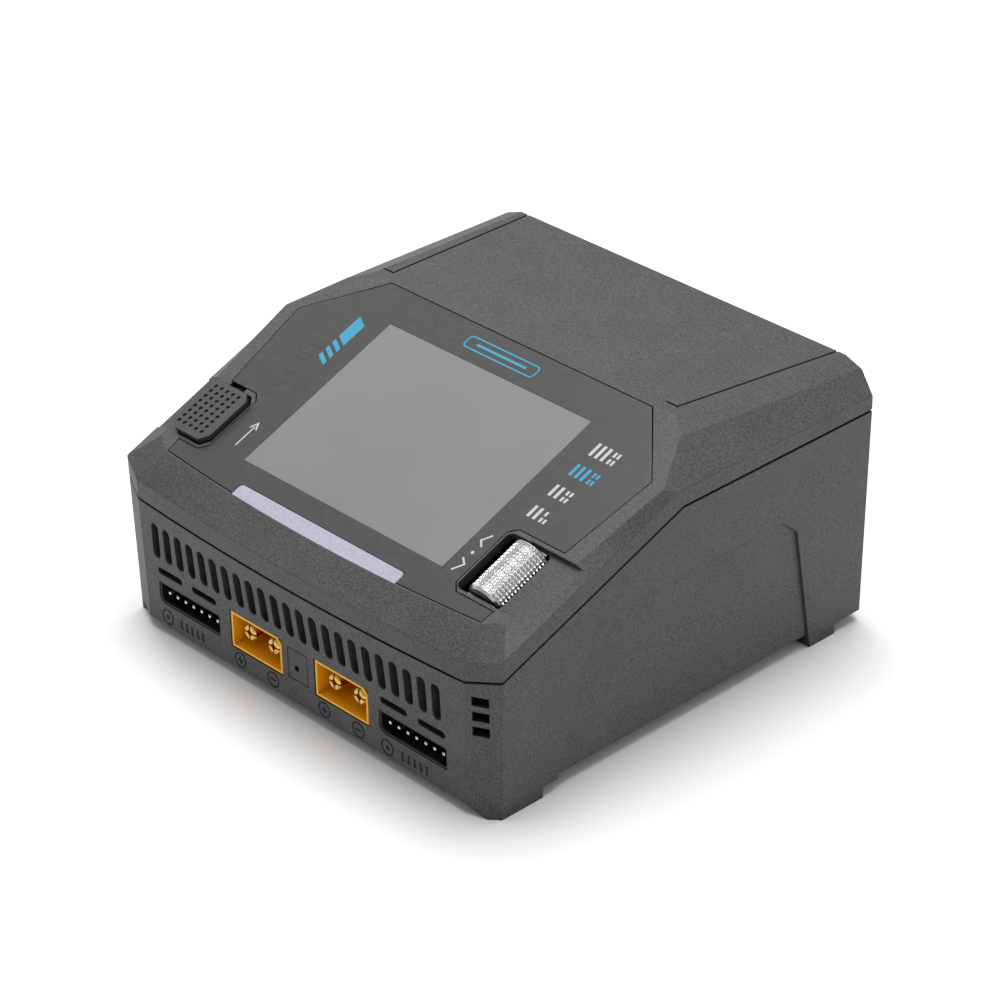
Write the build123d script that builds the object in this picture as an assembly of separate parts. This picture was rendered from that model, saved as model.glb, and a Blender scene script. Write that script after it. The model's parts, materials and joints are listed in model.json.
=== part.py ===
"""Balance battery charger: a two-channel desktop charger with a sloping control panel.

Millimetres.  The origin is on the ground under the middle of the case, +X is to the right,
+Y to the back and +Z up.  The panel has its own axes: x across, s up its slope, h out of it.
Every function returns one sub-part, written to parts/NAME.step by the last lines.
"""

from build123d import *
from math import atan2, cos, degrees, sin
import os

# ---------------------------------------------------------------- overall sizes
WIDTH = 110.4
DEPTH = 106.5
HEIGHT = 59.7

# ---------------------------------------------------------------- case form
WALL = 2.0
FLOOR = 2.2
FOOT_HEIGHT = 2.4
FOOT_LENGTH = 13.0
FOOT_WIDTH = 10.0
REAR_FOOT_GAP = 9.5
LEFT_FOOT_SETBACK = 3.2
SIDE_DRAFT = 1.7
FRONT_BOW = 1.9
BOW_START = 14.5
FRONT_CHAMFER_X = 6.8
FRONT_CHAMFER_Y = 3.25
REAR_CHAMFER_X = 5.0
REAR_CHAMFER_Y = 2.1
SEAM_FRONT_DROP = 30.15
SEAM_CHAMFER_RISE = 1.25
SEAM_KNEE_DROP = 10.6
SEAM_REAR_DROP = 11.3
SEAM_DEPTH = 0.9
SEAM_GAP = 0.27
BAND = 4.3
REAR_DROP = 2.6
KNEE_TO_RIDGE = 10.5

# ---------------------------------------------------------------- control panel
PANEL_LENGTH = 57.6
PANEL_RISE = 21.0
FRAME_FRONT = 0.55
LENS_FRONT_HALF = 45.4
LENS_WIDE_HALF = 50.4
LENS_WIDE_AT = 42.3
LENS_TOP_HALF = 37.0
LENS_BOW = 1.86
LENS_THICK = 1.0
LENS_GAP = 0.2
LENS_TOP_S = 57.0
FRAME_LOW_HALF = 50.2
FRAME_LOW_S = 2.0
FRAME_HIGH_HALF = 54.0
FRAME_HIGH_S = 43.5
SCREEN_WIDTH = 57.5
SCREEN_HEIGHT = 42.3
SCREEN_START = 6.1
BAR_HALF = 23.75
BAR_SHIFT = -0.3
BAR_TOP = 1.25
BAR_OVERHANG = 0.35

# ---------------------------------------------------------------- roller and exit button
ROLLER_RADIUS = 4.5
ROLLER_LENGTH = 13.6
ROLLER_X = 40.7
ROLLER_S = 11.6
ROLLER_SINK = 2.9
ROLLER_GAP = 0.95
ROLLER_REAR_GAP = 0.9
ROLLER_SIDE_GAP = 0.35
WINDOW_CORNER = 1.4
RIM = 0.95
AXLE_RADIUS = 1.5
JOURNAL_RADIUS = 0.75
RUNNING_GAP = 0.05
PRESS_TRAVEL = 0.5
LEDGE_DROP = 1.0
BUTTON_RIGHT = -39.4
BUTTON_S = 11.7
BUTTON_LENGTH = 14.0
BUTTON_PROUD = 1.0
BUTTON_GAP = 0.45
BUTTON_THICK = 2.3
POCKET_DEPTH = 2.3
HINGE_X = -45.25
HINGE_PIN_RADIUS = 0.6
STEM_X = -43.5
STEM_S = 8.5
STEM_RADIUS = 1.0

# ---------------------------------------------------------------- front connectors
SOCKET_WIDTH = 15.2
SOCKET_HEIGHT = 8.0
SOCKET_DEPTH = 17.0
SOCKET_PITCH = 25.2
SOCKET_WALL = 0.5
SOCKET_KEY = 1.2
SOCKET_GAP_SIDE = 0.4
SOCKET_GAP_LOW = 0.35
POLE_RADIUS = 1.75
POLE_PITCH = 7.2
HEADER_PITCH = 2.5
HEADER_WAYS = 7
HEADER_END = 2.8
HEADER_HEIGHT = 6.0
HEADER_DEPTH = 8.0
HEADER_WINDOW = 19.1
HEADER_WINDOW_HEIGHT = 5.0
HEADER_WINDOW_SHIFT = -0.25
HEADER_FIT = 0.1
HEADER_LINING = 0.35
HEADER_X = 33.1
PIN_SIDE = 0.64
PORT_X = -0.4
PORT_Z = 11.0
PORT_WIDTH = 5.6
PORT_HEIGHT = 6.8
CUT_GAP = 0.15
VENTS = 23
VENT_PITCH = 3.763
VENT_WIDTH = 2.3
VENT_HEIGHT = 8.0
VENT_SHIFT = -1.36

# ---------------------------------------------------------------- boards, rear parts and cooling
BOARD = 1.6
BOARD_LIFT = 0.9
UI_BOARD_DEPTH = 12.0
UI_BOARD_HALF = 46.0
FAN_SIZE = 40.0
FAN_THICK = 10.0
FAN_X = 22.5
FAN_CLEAR = 0.5
INLET_WIDTH = 27.0
INLET_HEIGHT = 19.6
INLET_DEPTH = 20.0
INLET_X = -30.0
DC_X = -30.0
USB_X = -7.0
USB_WIDTH = 13.2
USB_HEIGHT = 5.6
SCREW_RADIUS = 1.5
SCREW_HEAD_RADIUS = 2.75
SCREW_CLEAR = 0.2
POST_RADIUS = 3.4
COLLAR_RADIUS = 4.4
POST_X = 47.0
SMALL_SCREW_RADIUS = 1.1
SMALL_HEAD_RADIUS = 2.0
RECESS_DEPTH = 0.6
ROOF_GROOVE_X = 40.4
LCD_MARGIN = 1.0
LCD_THICK = WALL - LENS_THICK

# ---------------------------------------------------------------- worked-out places
HALF_W = WIDTH / 2
REAR_Y = DEPTH / 2
FRONT_Y = -DEPTH / 2 + FRONT_BOW
SEAM_FRONT = HEIGHT - SEAM_FRONT_DROP
SEAM_CORNER = SEAM_FRONT + SEAM_CHAMFER_RISE
SEAM_KNEE = HEIGHT - SEAM_KNEE_DROP
SEAM_REAR = HEIGHT - SEAM_REAR_DROP
CREASE_FRONT = SEAM_FRONT + BAND
PANEL_Y = FRONT_Y + 6.65
PANEL_Z = HEIGHT - PANEL_RISE
SLOPE = atan2(PANEL_RISE, (PANEL_LENGTH**2 - PANEL_RISE**2) ** 0.5)
RIDGE_Y = PANEL_Y + PANEL_LENGTH * cos(SLOPE)
KNEE_Y = RIDGE_Y - KNEE_TO_RIDGE
REAR_TOP = HEIGHT - REAR_DROP
INSIDE_FLOOR = FOOT_HEIGHT + FLOOR
BOARD_Z = INSIDE_FLOOR + BOARD_LIFT
BOARD_TOP = BOARD_Z + BOARD
SOCKET_Z = BOARD_TOP + 0.1 + SOCKET_HEIGHT / 2
HEADER_LENGTH = (HEADER_WAYS - 1) * HEADER_PITCH + 2 * HEADER_END
HEADER_Z = BOARD_TOP + HEADER_HEIGHT / 2
VENT_Z = SEAM_FRONT - 7.75
REAR_INSIDE = REAR_Y - WALL
FAN_Z = INSIDE_FLOOR + 2.0 + FAN_SIZE / 2
INLET_Z = BOARD_TOP + 16.2 + INLET_HEIGHT / 2
POST_FOOT = SEAM_FRONT - 6.0
HEAD_SEAT = FOOT_HEIGHT + 3.0
USB_Z = BOARD_TOP + 0.1 + USB_HEIGHT / 2
FRONT_POST_Y = FRONT_Y + 8.6
REAR_POST_Y = REAR_Y - 7.6
ROLLER_H = -ROLLER_SINK
BUTTON_LOW = BUTTON_S - BUTTON_LENGTH / 2
BUTTON_HIGH = BUTTON_S + BUTTON_LENGTH / 2
HINGE_S = BUTTON_HIGH + 1.4
HINGE_H = -1.9
FAR = 400.0
CENTRED_UP = (Align.CENTER, Align.CENTER, Align.MIN)

PANEL = Plane(origin=(0, PANEL_Y, PANEL_Z), x_dir=(1, 0, 0), z_dir=(0, -sin(SLOPE), cos(SLOPE)))


# ---------------------------------------------------------------- drawing helpers
def block(x0, x1, y0, y1, z0, z1):
    """A box between two corners."""
    corner = (Align.MIN, Align.MIN, Align.MIN)
    return Pos(x0, y0, z0) * Box(x1 - x0, y1 - y0, z1 - z0, align=corner)


def on_panel(solid):
    """A solid drawn in panel axes, put in its place on the case."""
    return PANEL.location * solid


def rod_y(x, y, z, radius, length):
    """A rod along +Y that starts at y."""
    rod = Cylinder(radius, length, align=(Align.CENTER, Align.CENTER, Align.MIN))
    return Pos(x, y, z) * Rot(-90, 0, 0) * rod


def rod_z(x, y, z, radius, length):
    """A rod along +Z that starts at z."""
    return Pos(x, y, z) * Cylinder(radius, length, align=(Align.CENTER, Align.CENTER, Align.MIN))


def mirrored(solid):
    """The same solid on the left."""
    return mirror(solid, about=Plane.YZ)


def both_sides(solid):
    """The solid and its mirror image as one shape."""
    return solid + mirrored(solid)


def group(solids):
    """Separate solids kept in one node."""
    return Compound(children=[s for whole in solids for s in whole.solids()])


def slab(points, plane, depth):
    """A polygon in a plane, extruded both ways by depth."""
    return extrude(plane * make_face(Polyline(*points, close=True)), amount=depth, both=True)


def below(solid, p, q, r, inset=0.0):
    """Cuts off what lies outside the plane through three points, moved inwards by inset."""
    a, b, c = Vector(*p), Vector(*q), Vector(*r)
    normal = (b - a).cross(c - a).normalized()
    middle = Vector(0, 0, HEIGHT / 2)
    if normal.dot(a - middle) < 0:
        normal = -normal
    return split(solid, bisect_by=Plane(origin=a - normal * inset, z_dir=normal), keep=Keep.BOTTOM)


# ---------------------------------------------------------------- case form
def outline(z, bow, inset):
    """Plan section of the case: a bowed front, four cut corners and tapered sides."""
    half = HALF_W - SIDE_DRAFT * (1 - z / SEAM_KNEE) - inset
    front = FRONT_Y + inset
    rear = REAR_Y - inset
    front_cut = half - FRONT_CHAMFER_X + inset * 0.22
    rear_cut = half - REAR_CHAMFER_X + inset * 0.18
    if bow > 0.0:
        nose = ThreePointArc((-front_cut, front, z), (0, front - bow, z), (front_cut, front, z))
    else:
        nose = Line((-front_cut, front, z), (front_cut, front, z))
    rest = Polyline(
        (front_cut, front, z),
        (half, front + FRONT_CHAMFER_Y, z),
        (half, rear - REAR_CHAMFER_Y, z),
        (rear_cut, rear, z),
        (-rear_cut, rear, z),
        (-half, rear - REAR_CHAMFER_Y, z),
        (-half, front + FRONT_CHAMFER_Y, z),
        (-front_cut, front, z),
    )
    return make_face([nose, *rest.edges()])


def bevel_cutter(inset):
    """What lies in front of the bevel between the front band and the panel."""
    faces = []
    chord = LENS_FRONT_HALF
    low_y = FRONT_Y - FRONT_BOW
    edge_front = FRONT_Y - FRONT_BOW * (1 - (chord / (HALF_W - FRONT_CHAMFER_X)) ** 2)
    top_front_s = -FRAME_FRONT
    top_middle_s = -FRAME_FRONT - LENS_BOW
    for z in (CREASE_FRONT - 4.0, CREASE_FRONT + 12.0):
        places = []
        for start_y, s in ((edge_front, top_front_s), (low_y, top_middle_s)):
            top_y = PANEL_Y + s * cos(SLOPE)
            top_z = PANEL_Z + s * sin(SLOPE)
            run = (top_y - start_y) / (top_z - CREASE_FRONT)
            places.append(start_y + run * (z - CREASE_FRONT))
        edge_y, middle_y = places
        reach = 1.6 * chord
        far_y = middle_y + (edge_y - middle_y) * 1.6**2
        nose = ThreePointArc((-reach, far_y, z), (0, middle_y, z), (reach, far_y, z))
        ahead_y = FRONT_Y - 40
        sides = Polyline(
            (reach, far_y, z),
            (reach, ahead_y, z),
            (-reach, ahead_y, z),
            (-reach, far_y, z),
        )
        faces.append(make_face([nose, *sides.edges()]))
    return Pos(0, inset * 0.55, -inset * 0.83) * loft(faces, ruled=True)


def crease_height(y):
    """Height of the side crease where the band ends, at a place along the side."""
    corner_y = FRONT_Y + FRONT_CHAMFER_Y
    rise = (SEAM_KNEE - SEAM_CORNER) / (KNEE_Y - corner_y)
    return SEAM_CORNER + BAND + (y - corner_y) * rise


def frame_edge(s):
    """Half width of the panel's frame at a place up the slope."""
    share = (s - FRAME_LOW_S) / (FRAME_HIGH_S - FRAME_LOW_S)
    return FRAME_LOW_HALF + (FRAME_HIGH_HALF - FRAME_LOW_HALF) * share


def facet_cutter(inset):
    """What lies outside the twisted facet between the panel's edge and the side band."""
    faces = []
    for y in (FRONT_Y - 6.0, KNEE_Y + 10.0):
        s = (y - PANEL_Y) / cos(SLOPE)
        top_x = frame_edge(s)
        top_z = PANEL_Z + s * sin(SLOPE)
        low_z = crease_height(y)
        step_x, step_z = HALF_W - top_x, low_z - top_z
        inner = (top_x - 2 * step_x, y, top_z - 2 * step_z)
        outer = (HALF_W + 2 * step_x, y, low_z + 2 * step_z)
        high_outer = (HALF_W + 30, y, low_z + 40)
        high_inner = (inner[0], y, low_z + 40)
        faces.append(make_face(Polyline(inner, outer, high_outer, high_inner, close=True)))
    return Pos(-inset * 0.72, inset * 0.25, -inset * 0.72) * loft(faces, ruled=True)


def case_form(inset=0.0):
    """The whole case as one solid, with every outside face moved in by inset."""
    base = 0.0 if inset == 0.0 else INSIDE_FLOOR - FLOOR + inset
    levels = ((base, 0.0), (BOW_START, 0.0), (SEAM_FRONT, FRONT_BOW), (HEIGHT + 5.0, FRONT_BOW))
    sections = [outline(z, bow, inset) for z, bow in levels]
    form = loft(sections[0:2], ruled=True)
    form += loft(sections[1:3], ruled=True)
    form += loft(sections[2:4], ruled=True)
    form &= block(inset - HALF_W, HALF_W - inset, -FAR, FAR, -1, FAR)
    form = below(form, (0, RIDGE_Y, HEIGHT), (9, RIDGE_Y, HEIGHT), (0, REAR_Y, REAR_TOP), inset)
    form = below(form, (0, RIDGE_Y, HEIGHT), (9, RIDGE_Y, HEIGHT), (0, PANEL_Y, PANEL_Z), inset)
    form -= bevel_cutter(inset)
    for side in (1, -1):
        corner = side * (HALF_W - FRONT_CHAMFER_X)
        form = below(
            form,
            (corner, FRONT_Y, CREASE_FRONT),
            (side * HALF_W, FRONT_Y + FRONT_CHAMFER_Y, SEAM_CORNER + BAND),
            (corner - side * 0.4, FRONT_Y + 7.35, CREASE_FRONT + 5.1),
            inset,
        )
        form = below(
            form,
            (side * 46.0 / 55.2 * HALF_W, REAR_Y, REAR_TOP),
            (side * 50.2 / 55.2 * HALF_W, REAR_Y, REAR_TOP - 1.5),
            (side * 43.0 / 55.2 * HALF_W, RIDGE_Y, HEIGHT),
            inset,
        )
        crease_rear = SEAM_REAR + BAND - 0.6
        form = below(
            form,
            (side * HALF_W, REAR_Y, crease_rear),
            (side * HALF_W, KNEE_Y, SEAM_KNEE + BAND - 0.5),
            (side * 50.2 / 55.2 * HALF_W, REAR_Y, REAR_TOP - 1.5),
            inset,
        )
    form -= both_sides(facet_cutter(inset))
    return form


def lower_zone(shift=0.0):
    """All that lies below the seam between case and cover, with the seam moved up by shift."""
    points = [
        (-FAR, -FAR),
        (-FAR, SEAM_FRONT + shift),
        (FRONT_Y, SEAM_FRONT + shift),
        (FRONT_Y + FRONT_CHAMFER_Y, SEAM_CORNER + shift),
        (KNEE_Y, SEAM_KNEE + shift),
        (FAR, SEAM_REAR + shift),
        (FAR, -FAR),
    ]
    return slab(points, Plane.YZ, FAR)


# ---------------------------------------------------------------- panel drawings, in x and s
def lens_edge(s):
    """Half width of the lens at a place up the slope."""
    return LENS_FRONT_HALF + (LENS_WIDE_HALF - LENS_FRONT_HALF) * s / LENS_WIDE_AT


def roller_window():
    """Edges of the roller's opening: left, right, low and high."""
    low = ROLLER_S - ROLLER_LENGTH / 2 - ROLLER_GAP
    high = ROLLER_S + ROLLER_LENGTH / 2 + ROLLER_REAR_GAP
    reach = (ROLLER_RADIUS**2 - ROLLER_H**2) ** 0.5
    left = ROLLER_X - reach - 2.7
    return left, ROLLER_X + ROLLER_RADIUS + ROLLER_SIDE_GAP, low, high


def button_outline(gap, spread):
    """The exit button's plate grown by gap, with its outer edge moved out by spread."""
    low = BUTTON_LOW - gap
    high = BUTTON_HIGH + gap
    right = BUTTON_RIGHT + gap
    cut = 1.6
    edge_low = 0.5 - frame_edge(low + cut) - spread
    edge_high = 0.2 - frame_edge(high) - spread
    points = [
        (edge_high, high),
        (right - cut, high),
        (right, high - cut),
        (right, low + cut + 0.3),
        (right - cut, low),
        (edge_low + cut + 0.4, low),
        (edge_low, low + cut),
    ]
    return make_face(Polyline(*points, close=True))


def lens_outline(gap=0.0):
    """The lens's edge: a bowed front, and notches beside the roller and the exit button."""
    left, _, low, high = roller_window()
    r_left = left - 0.6 + gap
    r_low = low - RIM + gap
    r_high = high + RIM + 0.35 - gap
    b_low = BUTTON_LOW - BUTTON_GAP - RIM + gap
    b_high = BUTTON_HIGH + BUTTON_GAP + RIM + 0.35 - gap
    b_right = BUTTON_RIGHT + BUTTON_GAP + 0.5 - gap
    top = LENS_TOP_S + gap
    half = LENS_FRONT_HALF + gap
    cut = 1.7
    nose = ThreePointArc((half, -gap), (0, -LENS_BOW - gap), (-half, -gap))
    rest = Polyline(
        (half, -gap),
        (lens_edge(r_low) + gap, r_low),
        (r_left + cut, r_low),
        (r_left, r_low + cut),
        (r_left, r_high - cut),
        (r_left + cut, r_high),
        (lens_edge(r_high) + gap, r_high),
        (LENS_WIDE_HALF + gap, LENS_WIDE_AT),
        (LENS_TOP_HALF + gap, top),
        (-LENS_TOP_HALF - gap, top),
        (-LENS_WIDE_HALF - gap, LENS_WIDE_AT),
        (-lens_edge(b_high) - gap, b_high),
        (b_right - cut, b_high),
        (b_right, b_high - cut),
        (b_right, b_low + cut),
        (b_right - cut, b_low),
        (-lens_edge(b_low) - gap, b_low),
        (-half, -gap),
    )
    return make_face([nose, *rest.edges()])


def bar_outline(gap=0.0):
    """The light bar's notch in the lens, open to the front."""
    reach = BAR_HALF + gap
    top = BAR_TOP + gap
    low = -LENS_BOW - 3.0
    bar = Pos(BAR_SHIFT, (top + low) / 2) * Rectangle(2 * reach, top - low)
    return fillet(bar.vertices().group_by(Axis.Y)[-1], 0.9)


def bar_front(gap=0.0):
    """The light bar's face: its notch, with the front edge a little ahead of the lens."""
    return lens_outline(BAR_OVERHANG + gap) & bar_outline(gap)


def screen_outline(gap=0.0):
    """The window for the display."""
    middle = SCREEN_START + SCREEN_HEIGHT / 2
    return Pos(0, middle) * Rectangle(SCREEN_WIDTH + 2 * gap, SCREEN_HEIGHT + 2 * gap)


def plate(face, low, high):
    """A flat piece drawn on the panel, between two heights."""
    return on_panel(Pos(0, 0, low) * extrude(face, amount=high - low, dir=(0, 0, 1)))


def panel_block(x0, x1, s0, s1, h0, h1):
    """A box in panel axes."""
    return on_panel(block(x0, x1, s0, s1, h0, h1))


def panel_rod(x, s, h, radius, length):
    """A rod square to the panel that starts at height h."""
    return on_panel(Pos(x, s, h) * Cylinder(radius, length, align=CENTRED_UP))


def slope_rod(x, h, s, radius, length):
    """A rod along the slope that starts at s."""
    return on_panel(Pos(x, s, h) * Rot(-90, 0, 0) * Cylinder(radius, length, align=CENTRED_UP))


def cross_rod(x, s, h, radius, length):
    """A rod along x in panel axes that starts at x."""
    return on_panel(Pos(x, s, h) * Rot(0, 90, 0) * Cylinder(radius, length, align=CENTRED_UP))


# ---------------------------------------------------------------- shared places
def post_places():
    """Middles of the four case posts."""
    return [(side * POST_X, y) for side in (-1, 1) for y in (FRONT_POST_Y, REAR_POST_Y)]


def panel_post_places():
    """Middles, in x and s, of the posts that hold the control board."""
    return [(-37.0, 50.0), (37.0, 50.0), (-43.0, 27.5), (43.0, 27.5)]


def board_screw_places():
    """Middles of the screws that hold the power board and the mains board."""
    return [
        (-45.0, -33.0),
        (45.0, -33.0),
        (-45.0, 4.5),
        (45.0, 4.5),
        (-45.5, 13.5),
        (45.5, 13.5),
        (-19.0, 31.0),
        (45.5, 36.0),
    ]


def front_prism(sketch, low_y, high_y):
    """A drawing seen from the front, in x and z, as a solid between two places in y."""
    return extrude(Plane.XZ.offset(-high_y) * sketch, amount=high_y - low_y)


# ---------------------------------------------------------------- case cutters
def upright_vents():
    """The row of upright vents across the front."""
    shape = Sketch()
    for i in range(VENTS):
        x = VENT_SHIFT + (i - (VENTS - 1) / 2) * VENT_PITCH
        shape += Pos(x, VENT_Z) * SlotOverall(VENT_HEIGHT, VENT_WIDTH, rotation=90)
    return front_prism(shape, FRONT_Y - 6, FRONT_Y + WALL + 1)


def level_vents():
    """Two short level vents above each balance header."""
    shape = Sketch()
    for middle in (-HEADER_X - 0.7, HEADER_X - 0.2):
        for side in (-1, 1):
            z = HEADER_Z + HEADER_WINDOW_HEIGHT / 2 + 2.35
            shape += Pos(middle + side * 5.3, z) * SlotOverall(7.6, 1.5)
    return front_prism(shape, FRONT_Y - 6, FRONT_Y + WALL + 1)


def corner_vents():
    """Three short slots in the right front corner."""
    turn = degrees(atan2(FRONT_CHAMFER_Y, FRONT_CHAMFER_X))
    cutters = Part()
    for row in range(3):
        z = SEAM_FRONT - 3.8 - 3.3 * row
        place = Pos(HALF_W - FRONT_CHAMFER_X - 0.8, FRONT_Y, z) * Rot(0, 0, turn)
        cutters += place * block(1.4, 4.9, -3, WALL + 1.5, -1.0, 1.0)
    return cutters


def front_marks():
    """Shallow engravings: rings with plus and minus signs, and rows of cell bars."""
    z = SOCKET_Z - SOCKET_HEIGHT / 2 - 2.6
    ring = Circle(1.8) - Circle(1.45)
    shape = Sketch()
    for side in (-1, 1):
        plus = side * SOCKET_PITCH / 2 - 5.45
        minus = plus + 9.9
        shape += Pos(plus, z) * (ring + Rectangle(1.7, 0.4) + Rectangle(0.4, 1.7))
        shape += Pos(minus, z) * (ring + Rectangle(1.7, 0.4))
        first = side * HEADER_X - 7.7
        shape += Pos(first, z) * (ring + Circle(0.5))
        for cell in range(5):
            shape += Pos(first + 4.4 + 1.7 * cell, z) * Rectangle(0.8, 2.0)
    return front_prism(shape, FRONT_Y - 6, FRONT_Y + 0.25)


def connector_cuts():
    """Front openings of the output sockets, the balance headers and the service port."""
    shape = Sketch()
    wide = SOCKET_WIDTH + CUT_GAP + SOCKET_GAP_SIDE
    tall = SOCKET_HEIGHT + CUT_GAP + SOCKET_GAP_LOW
    for side in (-1, 1):
        middle = side * SOCKET_PITCH / 2 + (CUT_GAP - SOCKET_GAP_SIDE) / 2
        shape += Pos(middle, SOCKET_Z + (CUT_GAP - SOCKET_GAP_LOW) / 2) * Rectangle(wide, tall)
        shape += Pos(side * HEADER_X + HEADER_WINDOW_SHIFT, HEADER_Z - 0.2) * header_window()
    shape += Pos(PORT_X + 0.1, PORT_Z + 0.1) * Rectangle(PORT_WIDTH + 0.3, PORT_HEIGHT + 0.3)
    return front_prism(shape, FRONT_Y - 6, FRONT_Y + WALL + 1)


def header_window():
    """The case's window before a balance header: one low corner is rounded off, the rest cut small."""
    half_w, half_h = HEADER_WINDOW / 2, HEADER_WINDOW_HEIGHT / 2
    points = [
        (-half_w, half_h),
        (half_w - 0.7, half_h),
        (half_w - 0.2, half_h - 0.2),
        (half_w, half_h - 0.7),
        (half_w, 0.4 - half_h),
        (half_w - 0.5, -half_h),
        (1.5 - half_w, -half_h),
        (0.6 - half_w, 0.35 - half_h),
        (-half_w, 1.3 - half_h),
    ]
    return make_face(Polyline(*points, close=True))


def rear_cuts():
    """Rear openings: the fan grille and its screws, mains inlet, battery input and USB port."""
    shape = Sketch()
    for i in range(9):
        x = (i - 4) * 4.0
        reach = 2 * ((FAN_SIZE / 2 - 1.5) ** 2 - x**2) ** 0.5
        shape += Pos(FAN_X + x, FAN_Z) * SlotOverall(reach, VENT_WIDTH, rotation=90)
    for x, z in fan_screw_places():
        shape += Pos(x, z) * Circle(SCREW_RADIUS + SCREW_CLEAR)
    shape += Pos(INLET_X, INLET_Z) * Rectangle(INLET_WIDTH + 2 * CUT_GAP, INLET_HEIGHT + 2 * CUT_GAP)
    shape += Pos(DC_X, SOCKET_Z) * Rectangle(SOCKET_WIDTH + 2 * CUT_GAP, SOCKET_HEIGHT + 2 * CUT_GAP)
    shape += Pos(USB_X, USB_Z) * Rectangle(USB_WIDTH + 2 * CUT_GAP, USB_HEIGHT + 2 * CUT_GAP)
    return front_prism(shape, REAR_INSIDE - 1, REAR_Y + 6)


def fan_screw_places():
    """The fan's four fixing holes, in x and z."""
    reach = 0.4 * FAN_SIZE
    return [(FAN_X + sx * reach, FAN_Z + sz * reach) for sx in (-1, 1) for sz in (-1, 1)]


def side_recess(form):
    """The shallow tapered recess low on each side."""
    points = [
        (FRONT_Y + 16.8, 0),
        (FRONT_Y + 27.4, SEAM_FRONT + 4.0),
        (KNEE_Y + 28.1, SEAM_FRONT + 4.0),
        (KNEE_Y + 32.5, SEAM_FRONT + 0.1),
        (KNEE_Y + 38.1, 0),
    ]
    zone = slab(points, Plane.YZ, FAR) - block(6 - HALF_W, HALF_W - 6, -FAR, FAR, -1, FAR)
    return zone & (form - case_form(RECESS_DEPTH))


def feet_zone():
    """The four corners where the case reaches the ground."""
    inner = HALF_W - FOOT_WIDTH
    points = [
        (HALF_W - FRONT_CHAMFER_X - 1.3, FRONT_Y - 5),
        (HALF_W - FRONT_CHAMFER_X - 1.3, FRONT_Y + 0.3),
        (inner - 1.5, FRONT_Y + 4.0),
        (inner - 1.5, FRONT_Y + FOOT_LENGTH + 0.9),
        (FAR, FRONT_Y + FOOT_LENGTH + 0.9),
        (FAR, FRONT_Y - 5),
    ]
    pad = Pos(0, 0, -1) * make_face(Polyline(*points, close=True))
    front = extrude(pad, amount=FOOT_HEIGHT + 1, dir=(0, 0, 1))
    high = REAR_Y - REAR_FOOT_GAP
    rear = block(inner, FAR, high - FOOT_LENGTH + 3.9, high, -1, FOOT_HEIGHT)
    corner = HALF_W - SIDE_DRAFT - FRONT_CHAMFER_X
    slant = (
        (corner - 0.1, FOOT_HEIGHT + 0.1),
        (corner + 4.6, 0),
        (corner + 4.6, -2),
        (inner - 2, -2),
        (inner - 2, FOOT_HEIGHT + 0.1),
    )
    wedge = front_prism(make_face(Polyline(*slant, close=True)), FRONT_Y - 6, FRONT_Y + 5.5)
    left = mirrored(front) - block(-FAR, 0, -FAR, FRONT_Y + LEFT_FOOT_SETBACK, -2, FOOT_HEIGHT + 1)
    return (front - wedge) + left + both_sides(rear)


def corner_fill():
    """The wedge that fills out the right front corner towards the ground."""
    corner = HALF_W - SIDE_DRAFT - FRONT_CHAMFER_X
    apex = (corner + 0.55, FRONT_Y, 16.0)
    toe = (corner + 4.6, FRONT_Y + 1.45, 0)
    points = [
        (corner - 0.2, FRONT_Y),
        (corner + 6.4, FRONT_Y),
        (corner + 6.4, FRONT_Y + 3.05),
        (corner + 5.0, FRONT_Y + 4.5),
        (corner - 0.7, FRONT_Y + 2.0),
    ]
    solid = extrude(make_face(Polyline(*points, close=True)), amount=16.0, dir=(0, 0, 1))
    solid = below(solid, apex, (corner + 0.05, FRONT_Y, 0), toe)
    return below(solid, toe, (corner + 4.25, FRONT_Y + 2.05, 3.3), (corner + 6.3, FRONT_Y + 3.0, 0))


# ---------------------------------------------------------------- case
def lower_case():
    """Moulded tray: floor, walls, vents, feet, screw posts and board pads."""
    form = case_form()
    solid = ((form + corner_fill()) & lower_zone()) - case_form(WALL)
    solid -= side_recess(form)
    solid -= (form - case_form(SEAM_DEPTH)) - lower_zone(-SEAM_GAP)
    solid -= block(-FAR, FAR, -FAR, FAR, -1, FOOT_HEIGHT) - feet_zone()
    solid += block(10 - HALF_W, HALF_W - 10, FRONT_Y + 6, REAR_Y - 6, FOOT_HEIGHT, INSIDE_FLOOR)
    for x, y in post_places():
        solid += rod_z(x, y, INSIDE_FLOOR - 1, COLLAR_RADIUS, 3.2)
        solid += rod_z(x, y, INSIDE_FLOOR - 1, POST_RADIUS, POST_FOOT - INSIDE_FLOOR + 1)
        solid -= rod_z(x, y, -1, SCREW_HEAD_RADIUS + SCREW_CLEAR, HEAD_SEAT + 1)
        solid -= rod_z(x, y, -1, SCREW_RADIUS + SCREW_CLEAR, POST_FOOT + 2)
    for x, y in board_screw_places():
        solid += rod_z(x, y, INSIDE_FLOOR - 1, 2.6, BOARD_LIFT + 1)
        solid -= rod_z(x, y, FOOT_HEIGHT + 0.8, SMALL_SCREW_RADIUS, 9)
    solid -= upright_vents() + level_vents() + corner_vents()
    solid -= connector_cuts() + rear_cuts() + front_marks()
    return solid


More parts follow.
